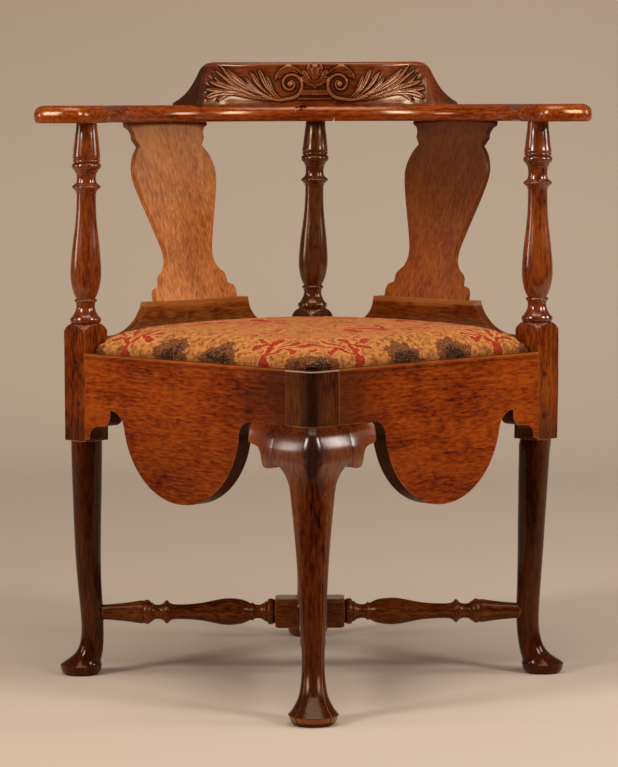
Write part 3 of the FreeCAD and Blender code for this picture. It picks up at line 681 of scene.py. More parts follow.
def bracketPieces():
    along = np.concatenate([np.linspace(*run) for run in bracket["columns"]])[:, None]
    high = np.interp(along, *np.array(bracket["upper"]).T)
    low = np.interp(along, *np.array(bracket["lower"]).T)
    height = high + (low - high) * np.linspace(0, 1, bracket["rows"])[None, :]
    knee = np.asarray(frontLeg["knee"], float)[::-1]
    kneeFace = knee[:, 5] / math.sqrt(2) - frontLeg["railFace"] + knee[:, 1]
    face = np.interp(height, knee[:, 0], kneeFace)
    joint, thin = bracket["joint"], bracket["thin"]
    t = np.clip((along - bracket["drawFrom"]) / (joint - bracket["drawFrom"]), 0, 1)
    share = bracket["noseShare"] + (1 - bracket["noseShare"]) * (3 * t ** 2 - 2 * t ** 3)
    rim = np.clip((along - bracket["nose"]) / bracket["noseRound"], 0, 1) ** 0.5
    rim = bracket["noseThin"] + (1 - bracket["noseThin"]) * rim
    face = (thin + (face - thin) * share) * rim
    face = face - np.clip(along - joint, 0, None) * bracket["tuck"]
    face = face - np.where(along > joint, bracket["jointStep"], 0)
    out = np.concatenate([face, bracket["back"] + 0 * face], 1)
    tall = np.concatenate([height, height[:, ::-1]], 1)
    grid = seatPlace(along + 0 * out, -frontLeg["railFace"] - out, tall)
    for side, hand in (("left", 1), ("right", -1)):
        name = side + "KneeBracket"
        woodPiece(side + "_knee_bracket", name, tubeMesh(name, grid * np.array([hand, 1, 1])),
                  woods["Legs"], sharpAngle=40)


frontLegPiece()
bracketPieces()


# Arms: (how far the section is drawn in, height) up the rounded edge, and points of the outline's
# sweep round the end, all in mm from the seat's centre as in the CAD. The arcs end at these angles,
# and each arm's half of the lap is half as high as the arm.
arm = {
    "under": 716.5, "inner": 262.0, "outer": 327.0, "lap": 27.0, "thick": 22.5,
    "edge": [(4.0, 0), (2.6, 0.9), (1.3, 3.0), (0.3, 6.6), (0, 9.6), (0.6, 13.2), (2.0, 16.6),
             (4.4, 19.4), (8.0, 21.5), (12.0, 22.4), (16.0, 22.5)],
    "topDraw": [13.0, 16.0], "outerDraw": 0.6, "innerDraw": 1.0, "drawPoints": 22,
    "outerEnd": 155.0, "outerJoin": (160, 164), "innerJoin": (175, 169), "innerEnd": 169.0,
    "sweep": [(-330, 48), (-346, 18), (-357.5, -12), (-352, -37), (-332, -48), (-308, -54),
              (-290, -46), (-276, -24), (-265, 0)]}


# The arms and crest stand a little to the right of the seat's middle
def upperShift(points):
    return 3.1 + 3.7 * np.interp(np.abs(points[:, 0]), (205, 300), (1, 0))


def arcPoints(radius, low, high, count=40):
    angle = np.radians(np.linspace(low, high, count))
    return np.stack([radius * np.cos(angle), radius * np.sin(angle)], -1)


# A solid from an outline, its section drawn in from the outline by the edge's shape times the draw
def armSolid(name, outline, draw, low, high, hand):
    tangent = np.gradient(outline, axis=0)
    tangent /= np.linalg.norm(tangent, axis=1, keepdims=True)
    inward = np.stack([-tangent[:, 1], tangent[:, 0]], -1) * draw[:, None]
    edge = smoothCurve(arm["edge"], 4)
    height = np.unique(np.clip(edge[:, 1], low, high))
    drawn = np.interp(height, edge[:, 1], edge[:, 0])
    if high == arm["thick"]:
        height, drawn = np.append(height, high), np.append(drawn[:-1], arm["topDraw"])
    plan = outline[None] + inward[None] * drawn[:, None, None]
    z = arm["under"] + height[:, None, None] + 0 * plan[..., :1]
    grid = np.concatenate([plan + np.array([0, yShift]), z], -1)
    return tubeMesh(name, grid * np.array([hand, 1, 1]) * mm)


def armPieces():
    outerLap = math.degrees(math.acos(-arm["lap"] / arm["outer"]))
    innerLap = math.degrees(math.acos(-arm["lap"] / arm["inner"]))
    outer = arcPoints(arm["outer"], outerLap, arm["outerEnd"])
    inner = arcPoints(arm["inner"], arm["innerEnd"], innerLap)
    sweep = smoothCurve([outer[-1], *arcPoints(arm["outer"], *arm["outerJoin"], 2), *arm["sweep"],
                         *arcPoints(arm["inner"], *arm["innerJoin"], 2)], 7)
    outline = np.concatenate([outer[:-1], sweep, inner[1:]])
    draws = (arm["outerDraw"], arm["innerDraw"])
    draw = np.interp(np.arange(len(outline)), (len(outer), len(outer) + arm["drawPoints"]), draws)
    lap = np.concatenate([arcPoints(arm["outer"], 180 - outerLap, outerLap, 8),
                          arcPoints(arm["inner"], innerLap, 180 - innerLap, 8)])
    thick = arm["thick"]
    for side, hand, low, high in (("left", 1, thick / 2, thick), ("right", -1, 0, thick / 2)):
        name = side + "Arm"
        parts = [armSolid(name + "Length", outline, draw, 0, thick, hand),
                 armSolid(name + "Lap", lap, np.repeat(draws, 8), low, high, hand)]
        woodPiece(side + "_arm", name, shifted(merged(name, parts), upperShift), woods["Arms"],
                  sharpAngle=40)


armPieces()


# Stretchers: the crossing block as in the CAD, drawn out a little, and turned arms. The profile
# runs from the block's end to the leg (the run), and its distances are scaled to each arm. Ends and
# reaches are those at the low and the high side of the axis, in mm from the crossing's middle.
stretcher = {"height": 81.0, "run": 232.0, "blockWithin": 20.0, "cutInside": 0.2, "sides": 56}
stretchers = {
    "side_stretcher": {"name": "sideStretcher", "axis": "x", "cadEnds": (46.0, 38.0),
                       "ends": (48.6, 42.0), "reaches": (274.0, 274.0), "wood": "Stretchers"},
    "long_stretcher": {"name": "longStretcher", "axis": "y", "cadEnds": (42.0, 42.0),
                       "ends": (44.0, 44.0), "reaches": (311.0, 274.0), "wood": "StretcherDeep"}}
stretcherProfile = [
    [(11.0, -8), (11.0, -0.6)], [(15.3, -0.4), (15.5, 1.0)],
    [(15.6, 1.2), (16.6, 3), (17.0, 5.5), (16.7, 8), (15.2, 9.8)], [(13.4, 10.4), (13.4, 12.6)],
    [(12.6, 13.2), (10.4, 16.6), (9.0, 21.5), (9.3, 26), (10.2, 28)],
    [(10.9, 28.4), (11.9, 30.2), (11.2, 32)],
    [(10.9, 32.6), (13.6, 38), (15.7, 44), (17.0, 52), (17.5, 61), (17.1, 69), (15.8, 77),
     (13.8, 87), (11.9, 97), (10.6, 108), (9.9, 119), (9.7, 132), (10.4, 138.4)],
    [(11.2, 139.2), (11.6, 141)],
    [(12.2, 141.4), (14.4, 143.4), (15.3, 145.2), (14.4, 147), (12.6, 148.8)],
    [(12.0, 149.2), (10.2, 152), (9.4, 156), (9.8, 160.5), (10.8, 163.2)],
    [(12.2, 163.6), (12.8, 166)], [(13.6, 166.6), (15.6, 169.4), (16.0, 172), (15.2, 174.8)],
    [(14.6, 175.4), (14.6, 176.4)],
    [(15.0, 176.8), (15.1, 179), (14.4, 185), (12.6, 197), (11.0, 213), (10.1, 224), (9.9, 232)],
    [(7.5, 232), (7.5, 238)]]


def stretcherPiece(node, name, axis, cadEnds, ends, reaches, wood):
    way = np.array([1, 0, 0]) if axis == "x" else np.array([0, 1, 0])
    middle = np.array([0, yShift, stretcher["height"]])
    arms, cuts = [], []
    for hand, cadEnd, end, reach in zip((-1, 1), cadEnds, ends, reaches):
        scale = (reach - end) / stretcher["run"]
        profile = [[(radius, hand * (end + far * scale)) for radius, far in run]
                   for run in stretcherProfile]
        arms.append(turned(name + "Arm", profile, middle, axis, stretcher["sides"]))
        cuts.append((tuple(middle + hand * way * (cadEnd - stretcher["cutInside"])),
                     tuple(hand * way)))
    block = joinedMesh(node, name + "Block", cuts)
    points = meshPoints(block)
    out = (points @ way) / mm - middle @ way
    drawn = np.where(out > stretcher["blockWithin"], ends[1] - cadEnds[1],
                     np.where(out < -stretcher["blockWithin"], cadEnds[0] - ends[0], 0))
    setPoints(block, points + drawn[:, None] * way * mm)
    woodPiece(node, name, merged(name, [block] + arms), woods[wood])


for node, values in stretchers.items():
    stretcherPiece(node, **values)
print("wood pieces made")


# Crest rail: a section carried round the back of the arm, with its carved front
crest = {
    "armTop": 739.0, "top": 797.0, "inner": 262.0,      # as in the CAD, mm from the seat's centre
    "endAngle": 35.0, "frontRows": 112, "otherRows": 44, "columns": 600,
    "relief": 2.3, "sunk": 0.9, "sunkReach": 4.5, "carvedTo": 150.5, "plainTop": 3.0,
    # leaves: points along a spine, half width of a stem, and the gouge down the middle of each stroke
    "leafPoints": 46, "stem": 0.7, "leafGouge": 0.42, "gougeWidth": 0.42,
    # volutes: centre, first radius and its growth over the turns, half widths along them and height
    "volute": (34.0, 28.0), "voluteTurns": (-250, 262), "voluteRadius": 5.0, "voluteGrowth": 14.5,
    "volutePower": 1.55, "volutePoints": 150, "voluteWidths": ([0, 0.25, 0.7, 1], [1.3, 1.8, 2.6, 1.2]),
    "voluteGouge": 0.30, "voluteHeight": 1.1, "voluteEye": 4.2,
    "voluteTail": [(38, 7.6), (48, 6.2), (60, 7.5), (72, 11)],
    # outline of the ends seen from the front: level, then falling in a long curve to the arm
    "fall": [(138, 797), (147, 795), (153, 790.5), (157, 785), (162, 775), (168, 765), (175, 756),
             (184, 748), (194, 742), (208, 736)]}


# Leaf strokes of the carving, right half: points (x from the middle, height over the arm) along the
# spine, half width where it is broadest, how far along that is, and its height
leafStrokes = [
    # upper leaf, curling out to its tip
    ([(50, 7), (72, 13), (96, 24), (116, 38), (129, 53)], 3.6, 0.55, 1.0),
    ([(54, 8), (78, 17), (100, 31), (114, 43), (119, 47)], 3.0, 0.70, 0.85),
    ([(60, 8), (86, 14), (108, 25), (124, 37), (134, 45)], 3.0, 0.72, 0.9),
    ([(66, 9), (92, 15), (112, 23), (130, 31), (138, 39)], 2.6, 0.75, 0.8),
    # middle lobe, standing up like a thumb
    ([(47, 8), (56, 16), (62, 26), (66, 38)], 3.2, 0.70, 0.9),
    ([(50, 7), (61, 17), (69, 29), (74, 41), (77, 47)], 3.6, 0.72, 1.0),
    ([(53, 7), (66, 16), (77, 27), (84, 37), (88, 43)], 3.4, 0.74, 0.95),
    ([(56, 7), (70, 14), (83, 23), (91, 31), (94, 36)], 2.8, 0.76, 0.8),
    # lower leaf, ending in round lobes
    ([(52, 6), (76, 9), (98, 17), (122, 24), (143, 31)], 3.6, 0.86, 1.0),
    ([(60, 6), (82, 9), (104, 15), (126, 19), (148, 21)], 3.4, 0.88, 0.9),
    ([(66, 6), (90, 10), (112, 15), (132, 15), (147, 10)], 4.4, 0.88, 1.0),
    ([(72, 7), (96, 13), (112, 16), (124, 13), (131, 6.5)], 4.2, 0.86, 0.95),
    ([(70, 6), (90, 11), (103, 16), (110, 18), (114, 13)], 3.2, 0.84, 0.8),
    # leaf over the volute
    ([(17, 42), (25, 48), (37, 50), (48, 44), (54, 35)], 3.6, 0.45, 0.9),
    ([(24, 44), (33, 46), (43, 43), (49, 37)], 2.4, 0.5, 0.6),
    # flower in the middle
    ([(0, 30), (0, 42), (0, 55)], 4.0, 0.70, 0.9),
    ([(0, 30), (5, 41), (9, 52)], 3.8, 0.70, 0.85),
    ([(0, 29), (10, 37), (16, 46)], 3.8, 0.72, 0.9),
    ([(0, 27), (11, 31), (19, 37)], 3.4, 0.70, 0.8),
    ([(0, 22), (4, 27), (12, 29)], 2.6, 0.6, 0.6)]


# Spine of the volute: a spiral whose radius grows with a power of its turn, run out into the leaf
def voluteSpine():
    turn = np.radians(np.linspace(*crest["voluteTurns"], 60))
    share = (turn - turn[0]) / (turn[-1] - turn[0])
    radius = crest["voluteRadius"] + crest["voluteGrowth"] * share ** crest["volutePower"]
    x, z = crest["volute"]
    spiral = np.stack([x + radius * np.cos(turn), z + radius * np.sin(turn)], -1)
    return np.concatenate([spiral, smoothCurve(crest["voluteTail"], 6)])


# Height of the carving over a face whose points are given: each stroke is a rounded ridge round its
# spine with a gouge down the middle, the highest stroke counts, and the ground sinks beside them
def carvedHeight(x, z):
    x = np.abs(x)
    bare = -9.0                # height where no stroke reaches
    height = np.full(x.shape, bare)
    away = np.full(x.shape, 99.0)

    def lay(spine, widths, tall, gouge):
        nonlocal height, away
        nearest = np.full(x.shape, 1e9)
        share = np.zeros(x.shape)
        for (px, pz), width in zip(spine, widths):
            apart = np.hypot(x - px, z - pz)
            closer = apart / width < nearest
            nearest = np.where(closer, apart / width, nearest)
            share = np.where(closer, width, share)
        hollow = gouge * np.exp(-(nearest / crest["gougeWidth"]) ** 2)
        ridge = np.sqrt(np.clip(1 - nearest ** 2, 0, 1)) - hollow
        height = np.maximum(height, np.where(nearest < 1, tall * ridge, bare))
        away = np.minimum(away, (nearest - 1) * share)

    for points, broad, at, tall in leafStrokes:
        t = np.linspace(0, 1, crest["leafPoints"])
        # It swells up to its broadest and then narrows by three quarters, slowly at first
        swell = np.where(t < at, t / at, 1 - ((t - at) / (1 - at)) ** 3 * 0.75)
        lay(evenly(smoothCurve(points), len(t)),
            crest["stem"] + (broad - crest["stem"]) * swell ** 1.3, tall, crest["leafGouge"])
    count = crest["volutePoints"]
    lay(evenly(voluteSpine(), count), np.interp(np.linspace(0, 1, count), *crest["voluteWidths"]),
        crest["voluteHeight"], crest["voluteGouge"])
    lay([crest["volute"]], [crest["voluteEye"]], crest["voluteHeight"], 0.0)
    # A beaded strap and a plain sill join the two volutes
    strap = np.maximum(x - 18.5, np.abs(z - 16.5) - 3.6)
    height = np.maximum(height, np.where(strap < 0, 0.55 + 0.15 * np.cos(x * 2.1), bare))
    sill = np.maximum(x - 23.5, np.abs(z - 8.0) - 1.5)
    height = np.maximum(height, np.where(sill < 0, 0.40, bare))
    away = np.minimum(away, np.minimum(strap, sill))
    ground = -crest["sunk"] * np.exp(-np.clip(away, 0, None) / crest["sunkReach"])
    return np.where(height > bare, height * crest["relief"], ground)


# Section of the crest as (radius, height): up the carved face, over the top and down the hollow back
def crestSection():
    top, low, inner = crest["top"], crest["armTop"], crest["inner"]
    front = [(inner + 5.0, low - 5), (inner + 6.6, top - 5)]
    crown = smoothCurve([(inner + 6.6, top - 5), (inner + 8.2, top - 1.3), (inner + 12, top)], 5)
    over = smoothCurve([(inner + 23, top), (inner + 28.5, top - 2.2), (inner + 32, top - 8)], 5)
    hollow = smoothCurve([(inner + 32, top - 8), (inner + 38, 765), (inner + 54, low + 3)], 8)
    frontRows = evenly(front, crest["frontRows"])
    foot = [(inner + 54, low - 5)]
    others = evenly(np.concatenate([crown, over, hollow, foot]), crest["otherRows"])
    return np.concatenate([frontRows, others[1:]])


# The section is carried round between its two ends. An end's angle depends on the height and on the
# radius, and the height falls with the distance from the middle, so the two are found in turn.
def crestPiece():
    top, low, inner = crest["top"], crest["armTop"], crest["inner"]
    radius, full = crestSection().T[:, :, None]
    across = np.linspace(-1, 1, crest["columns"])[None, :]
    fall = smoothCurve(crest["fall"], 6)
    height = full
    for _ in range(3):
        end = np.arcsin((8 - 0.25 * (height - low)) / radius) + 0.0005 * (radius - inner)
        end = end + np.radians(crest["endAngle"])
        x = radius * np.sin(across * end)
        height = np.minimum(full, np.interp(np.abs(x), fall[:, 0], fall[:, 1]))
    relief = np.zeros(x.shape)
    rows = crest["frontRows"]
    faceX, faceHeight = x[:rows], height[:rows]
    # The carving fades out towards the face's top, foot and ends
    margin = (np.clip((top - crest["plainTop"] - faceHeight) / 3, 0, 1)
              * np.clip((faceHeight - low) / 4, 0, 1)
              * np.clip((crest["carvedTo"] - np.abs(faceX)) / 2, 0, 1))
    relief[:rows] = carvedHeight(faceX, faceHeight - low) * margin
    angle = across * end
    grid = np.stack([(radius - relief) * np.sin(angle), (radius - relief) * np.cos(angle) + yShift,
                     height + 0 * angle], -1) * mm
    count, wide = grid.shape[:2]
    leftEnd = [row * wide for row in range(count)][::-1]
    rightEnd = [row * wide + wide - 1 for row in range(count)]
    mesh = gridMesh("crestRail", grid, rowsClose=True, caps=[leftEnd, rightEnd])
    depth = mesh.attributes.new("carvedDepth", "FLOAT", "POINT")
    depth.data.foreach_set("value", relief.reshape(-1).astype(np.float32))
    woodPiece("crest_rail", "crestRail", shifted(mesh, upperShift), woods["Crest"], sharpAngle=50)


crestPiece()
print("crest carved")


# Slip seat: a stuffed pad swollen by a cloth simulation, its cover's skirt and the webbing. Lengths
# are in mm. The pad is held inside its reach above the rails, and within the rebate below their top.
seat = {
    "half": 209.0, "notch": 185.0,         # half the pad's width and its notches, as in the CAD
    "rebate": 209.2, "legCorner": 177.0,   # half the rebate's width, and the front leg's inner corner
    "railTop": 421.0, "lip": 0.5, "cornerCut": 10.0, "floorDepth": 6.0, "reach": 211.5,
    "shoulder": 26.0, "shoulderReach": 9.0, "dome": 8.0, "domeRadius": 285.0, "rise": 1.0,
    "foot": 210.4, "footHigh": 428.0, "footTop": 436.0, "footReach": 7.0,
    "voxel": 5.0, "block": 30.0, "slack": 0.86, "thinnest": 8.0, "pressure": 4.0, "steps": 20,
    "cap": 9.0, "toShape": 0.55,
    "skirtLow": 408.2, "skirtHigh": 426.0, "skirtGap": 0.25, "skirtThick": 0.5, "skirtFront": 179.0}


def evaluated(piece):
    graph = bpy.context.evaluated_depsgraph_get()
    return bpy.data.meshes.new_from_object(piece.evaluated_get(graph), depsgraph=graph)


# Keeps points inside the seat's outline: the rebate in the rails, which is narrower than the pad
# above it, the posts' notches, and the top of the front leg. The pad's foot is drawn out to the rails.
def keepInside(points):
    u, v, z = alongRails(points)
    above = np.clip((z - seat["railTop"] - seat["lip"]) / 3, 0, 1)
    side = seat["rebate"] + (seat["reach"] - seat["rebate"]) * above
    u, v = np.clip(u, -side, side), np.clip(v, -side, side)
    foot = np.minimum(seat["foot"] - np.clip(z - seat["footHigh"], 0, None) * 0.5, side)

    def drawnOut(way):
        beside = (np.abs(way) > foot - seat["footReach"]) & (z < seat["footTop"])
        return np.where(beside, np.sign(way) * np.maximum(np.abs(way), foot), way)

    u, v = drawnOut(u), drawnOut(v)
    frontCorner = (u > 0) & (v < 0)
    over = np.maximum(u - v - (2 * side - seat["cornerCut"]), 0) * frontCorner
    u, v = u - over / 2, v + over / 2
    deep = (np.abs(u) > seat["notch"]) & (np.abs(v) > seat["notch"]) & ~frontCorner
    nearU = np.abs(u) < np.abs(v)
    u = np.where(deep & nearU, np.sign(u) * seat["notch"], u)
    v = np.where(deep & ~nearU, np.sign(v) * seat["notch"], v)
    return seatPlace(u, v, np.maximum(z, padFloor(u, v)))


# The pad's underside: down in the rebate, but over the top of the front leg
def padFloor(u, v):
    overLeg = (u > seat["legCorner"]) & (v < -seat["legCorner"])
    return np.where(overLeg, seat["railTop"] + seat["lip"], seat["railTop"] - seat["floorDepth"])


# How far a point on the seat lies inside the outline
def insideBy(u, v, side, cornerCut):
    wide, deep = np.abs(u), np.abs(v)
    straight = np.minimum(side - wide, side - deep)
    post = np.hypot(np.maximum(seat["notch"] - wide, 0), np.maximum(seat["notch"] - deep, 0))
    frontCorner = (u > 0) & (v < 0)
    cut = (2 * side - cornerCut - (u - v)) / math.sqrt(2)
    return np.clip(np.minimum(straight, np.where(frontCorner, cut, post * 3)), 0, None)


# Height of the stuffed top: a shoulder that rises as (1 - e^-distance)^0.8 from the edge, and a low
# dome over the whole seat
def stuffedHeight(u, v):
    inside = insideBy(u, v, seat["half"], seat["cornerCut"])
    shoulder = seat["shoulder"] * (1 - np.exp(-inside / seat["shoulderReach"])) ** 0.8
    dome = seat["dome"] * (1 - (u ** 2 + v ** 2) / seat["domeRadius"] ** 2)
    return seat["railTop"] + seat["rise"] + shoulder + dome


# The seat's outline from its front corner's right end, its three notches round the posts
def notchedOutline(side, notch, frontCorner):
    return frontCorner + [
        (-notch, -side), (-notch, -notch), (-side, -notch), (-side, notch), (-notch, notch),
        (-notch, side), (notch, side), (notch, notch), (side, notch)]


# A flat-topped block in the seat's outline
def padBlock():
    side, cut = seat["half"], seat["cornerCut"]
    corners = notchedOutline(side, seat["notch"] - 1, [(side, cut - side), (side - cut, -side)])
    work = bmesh.new()
    flat = [work.verts.new((u * mm, v * mm, 0)) for u, v in corners]
    face = work.faces.new(flat)
    raised = bmesh.ops.extrude_face_region(work, geom=[face])["geom"]
    lifted = [part for part in raised if isinstance(part, bmesh.types.BMVert)]
    bmesh.ops.translate(work, verts=lifted, vec=(0, 0, seat["block"] * mm))
    bmesh.ops.recalc_face_normals(work, faces=work.faces)
    mesh = bpy.data.meshes.new("padStart")
    work.to_mesh(mesh)
    work.free()
    return mesh


def vertexGroup(piece, name, chosen):
    group = piece.vertex_groups.new(name=name)
    group.add(np.nonzero(chosen)[0].tolist(), 1.0, "REPLACE")
    return name


# Where the cloth simulation's pressure takes the pad's points, held at its base. No point goes
# further than the cap.
def swollen(pad, before, share):
    cloth = pad.modifiers.new("swell", "CLOTH")
    cloth.settings.use_pressure = True
    cloth.settings.uniform_pressure_force = seat["pressure"]
    cloth.settings.effector_weights.gravity = 0
    cloth.settings.vertex_group_mass = vertexGroup(pad, "base", share < 0.05)
    cloth.settings.quality = 5
    for step in range(1, seat["steps"] + 1):
        scene.frame_set(step)
    travel = meshPoints(evaluated(pad)) - before
    scene.frame_set(1)
    pad.modifiers.clear()
    pad.vertex_groups.clear()
    length = np.linalg.norm(travel, axis=1, keepdims=True)
    return before + travel * np.minimum(length, seat["cap"] * mm) / np.maximum(length, 1e-9)


# The pad is a block remade with even faces, given a domed top, swollen, drawn part of the way to the
# stuffed height and smoothed. The share says how far up the block each point started, from 0 to 1.
def seatPad():
    pad = bpy.data.objects.new("seatNeedlework", padBlock())
    scene.collection.objects.link(pad)
    remesh = pad.modifiers.new("even", "REMESH")
    remesh.mode = "VOXEL"
    remesh.voxel_size = seat["voxel"] * mm
    pad.data = evaluated(pad)
    pad.modifiers.clear()
    u, v, z = meshPoints(pad.data).T / mm
    share = np.clip(z / seat["block"], 0, 1)
    low = padFloor(u, v)
    tall = np.maximum((stuffedHeight(u, v) - low) * seat["slack"], seat["thinnest"])
    points = seatPlace(u, v, low + share * tall)
    setPoints(pad.data, points)
    points = swollen(pad, points, share)
    u, v, z = alongRails(keepInside(points))
    drawn = z * (1 - seat["toShape"]) + stuffedHeight(u, v) * seat["toShape"]
    setPoints(pad.data, seatPlace(u, v, np.where(share > 0.6, drawn, z)))
    smooth = pad.modifiers.new("settle", "SMOOTH")
    smooth.iterations = 6
    smooth.factor = 0.5
    smooth.vertex_group = vertexGroup(pad, "loose", share > 0.2)
    finer = pad.modifiers.new("finer", "SUBSURF")
    finer.levels = 1
    finer.render_levels = 1
    pad.data = evaluated(pad)
    pad.modifiers.clear()
    setPoints(pad.data, keepInside(meshPoints(pad.data))).shade_smooth()
    return pad


# A ring of wall with a rectangular section, carried round an outline and mitred at its corners
def outlineWall(name, corners, low, high, thick):
    corners = np.asarray(corners, float)
    ahead = np.roll(corners, -1, 0) - corners
    ahead /= np.linalg.norm(ahead, axis=1, keepdims=True)
    side = np.stack([ahead[:, 1], -ahead[:, 0]], -1)
    miter = side + np.roll(side, 1, 0)
    miter /= (miter * side).sum(1, keepdims=True)
    inner, outer = corners, corners + miter * thick
    rings = [(inner, low), (outer, low), (outer, high), (inner, high)]
    grid = np.stack([seatPlace(ring[:, 0], ring[:, 1], z) for ring, z in rings])
    return outwards(gridMesh(name, grid, rowsClose=True, columnsClose=True))


# Needlework in wool, the same on all four sides: on a gold ground a crimson spray towards each end
# of a side, brown clouds between them and on the corner, and loose crimson leaves on the top
needlework = {
    "ground": (0.60, 0.205, 0.045), "groundDeep": (0.25, 0.072, 0.014), "pale": (0.66, 0.29, 0.10),
    "crimson": (0.38, 0.020, 0.006), "rose": (0.52, 0.13, 0.045), "brown": (0.165, 0.045, 0.014),
    "darkBrown": (0.035, 0.012, 0.006),
    # places and sizes in mm, the stitches' scale, and how far and how finely the drawing wanders
    "sprayPlace": 127.0, "cloudPlace": 45.0, "cloudHalf": 31.0, "cloudTall": 47.0,
    "cornerPlace": 207.0, "cornerHalf": 46.0, "topFrom": (62, 84), "edgeOut": 240.0,
    "edgeHeight": 449.0, "overEdge": 1.15, "stitch": 620, "drift": (22, 22, 14), "wander": 55,
    # each stroke of a spray: from and to (sideways, up from the rail), then its half width at each
    "strokes": [
        ((0, -4), (0, 17), 7.5, 6.5), ((0, 17), (-5, 36), 4.0, 5.0), ((4, 19), (14, 38), 3.0, 4.5),
        ((-9, 47), (-29, 36), 2.5, 6.5), ((-13, 50), (-40, 58), 1.5, 4.5),
        ((17, 42), (36, 34), 2.0, 5.0), ((-4, 42), (-12, 72), 2.0, 5.5), ((8, 44), (20, 70), 2.0, 5.5),
        ((22, 48), (46, 60), 1.5, 5.0), ((58, 44), (80, 40), 2.5, 5.0)]}


def needleworkFinish():
    sheet = Finish("needlework")
    maths = sheet.maths
    rails = sheet.alongSides(sheet.stretched(sheet.objectSpace(), (1, 1, 1), (0, -yShift * mm, 0)))
    # Millimetres along the rails, drawn unevenly by hand. The noise is about a half everywhere, so
    # half the drift is taken off again.
    wander = sheet.noise(rails, needlework["wander"], 3, 0.55, 0.0, 1)
    level = tuple(-share / 2 for share in needlework["drift"])
    u, v, z = sheet.split(sheet.vectorMaths("MULTIPLY_ADD", wander, needlework["drift"],
                                            sheet.stretched(rails, (1 / mm, 1 / mm, 1 / mm), level)))
    wide, deep = maths("ABSOLUTE", u), maths("ABSOLUTE", v)
    far, near = maths("MAXIMUM", wide, deep), maths("MINIMUM", wide, deep)
    # How far a point is over the edge and up, from the rail
    below = maths("MAXIMUM", needlework["edgeHeight"] - z, 0.0)
    up = needlework["edgeOut"] - far - below * needlework["overEdge"]
    fine = sheet.noise(rails, 150, 4, 0.6, 0.4)
    soft = sheet.noise(rails, 60, 3, 0.5)

    # How far outside a stroke a point is: its distance from the nearest place on the spine, less the
    # half width there
    def stroke(start, end, startHalf, endHalf):
        run, rise = end[0] - start[0], end[1] - start[1]
        length = run * run + rise * rise
        across = near - (needlework["sprayPlace"] + start[0])
        lift = up - start[1]
        share = (across * run + lift * rise) / length
        along = sheet.node("ShaderNodeClamp", {}, {"Value": share})
        sideways, over = across - along * run, lift - along * rise
        return (maths("SQRT", sideways * sideways + over * over)
                - (along * (endHalf - startHalf) + startHalf))

    nearest = stroke(*needlework["strokes"][0])
    for given in needlework["strokes"][1:]:
        nearest = maths("MINIMUM", nearest, stroke(*given))
    spray = 1 - sheet.step(nearest, -0.6, 0.6)
    outline = 1 - sheet.step(maths("ABSOLUTE", nearest - 2.0), 0.6, 1.6)

    billow = (soft - 0.5) * 1.6 + (fine - 0.5) * 0.9
    upCloud = (up + 2) / needlework["cloudTall"]
    acrossCloud = (near - needlework["cloudPlace"]) / needlework["cloudHalf"]
    cloudRound = acrossCloud * acrossCloud + upCloud * upCloud + billow
    acrossCorner = (near - needlework["cornerPlace"]) / needlework["cornerHalf"]
    cornerRound = acrossCorner * acrossCorner + upCloud * upCloud * 2.4 + billow
    clouds = maths("MINIMUM", cloudRound, cornerRound)
    cloud = 1 - sheet.step(clouds, 0.90, 1.0)
    core = 1 - sheet.step(clouds + (fine - 0.5) * 0.6, 0.16, 0.34)

    top = sheet.step(up, *needlework["topFrom"])
    drawn = sheet.stretched(rails, (1, 1, 0.2), (0.3, 0.1, 0))
    leaf = sheet.noise(drawn, 26, 2, 0.5, 1.0)
    leaves = top * sheet.step(leaf, 0.585, 0.60)
    rim = top * sheet.step(leaf, 0.555, 0.57) * (1 - leaves)
    blush = top * sheet.step(sheet.noise(rails, 23, 3, 0.6, 1.0), 0.45, 0.60)
    shadow = top * sheet.step(sheet.noise(drawn, 40, 3, 0.6, 1.0), 0.57, 0.66)

    colour = sheet.mix(sheet.step(fine, 0.36, 0.60), needlework["groundDeep"], needlework["ground"])
    browns = sheet.mix(core, needlework["brown"], needlework["darkBrown"])
    worn = sheet.noise(rails, 480, 2, 0.6)
    colour = sheet.stainsAndPaintedLight(
        colour,
        (blush, 0.7, needlework["rose"]),
        (shadow, 0.5, needlework["brown"]),
        (cloud, 1.0, browns),
        (maths("MAXIMUM", outline, rim), 0.7, needlework["pale"]),
        (maths("MAXIMUM", spray, leaves), 1.0, needlework["crimson"]),
        (sheet.step(worn, 0.50, 0.72), 0.45, needlework["pale"]),
        (1 - sheet.step(worn, 0.30, 0.48), 0.5, needlework["darkBrown"]))
    stitches = sheet.node("ShaderNodeTexVoronoi", {"feature": "F1"},
                          {"Vector": rails, "Scale": needlework["stitch"], "Randomness": 0.65})
    return sheet.surface({"Roughness": 0.9, "Specular IOR Level": 0.1},
                         **{"Base Color": colour,
                            "Normal": sheet.bump((1 - stitches) + worn * 0.6, 0.6, 0.0009)})


# The skirt is the part of the cover that hangs down inside the rebate
def seatSkirt(material):
    edge, notch, front = (seat[key] + seat["skirtGap"] for key in ("half", "notch", "skirtFront"))
    corners = notchedOutline(edge, notch, [(edge, -front), (front, -front), (front, -edge)])[::-1]
    wall = outlineWall("seatSkirt", corners, seat["skirtLow"], seat["skirtHigh"], -seat["skirtThick"])
    newPiece("seatSkirt", wall, "slip_seat", material)


needleworkCloth = needleworkFinish()
pad = seatPad()
pad.data.materials.clear()
pad.data.materials.append(needleworkCloth)
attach(pad, "slip_seat")
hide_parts("seat_cover", "seat_stuffing")
seatSkirt(needleworkCloth)
print("slip seat stuffed")


# Woven straps nailed over the seat frame, three each way, sagging a little between its rails
straps = {"reach": 187.0, "half": 25.0, "thick": 1.2, "places": (-84, 0, 84), "sag": 4.0,
          "rows": 48, "floor": 425.0, "threads": 4200}


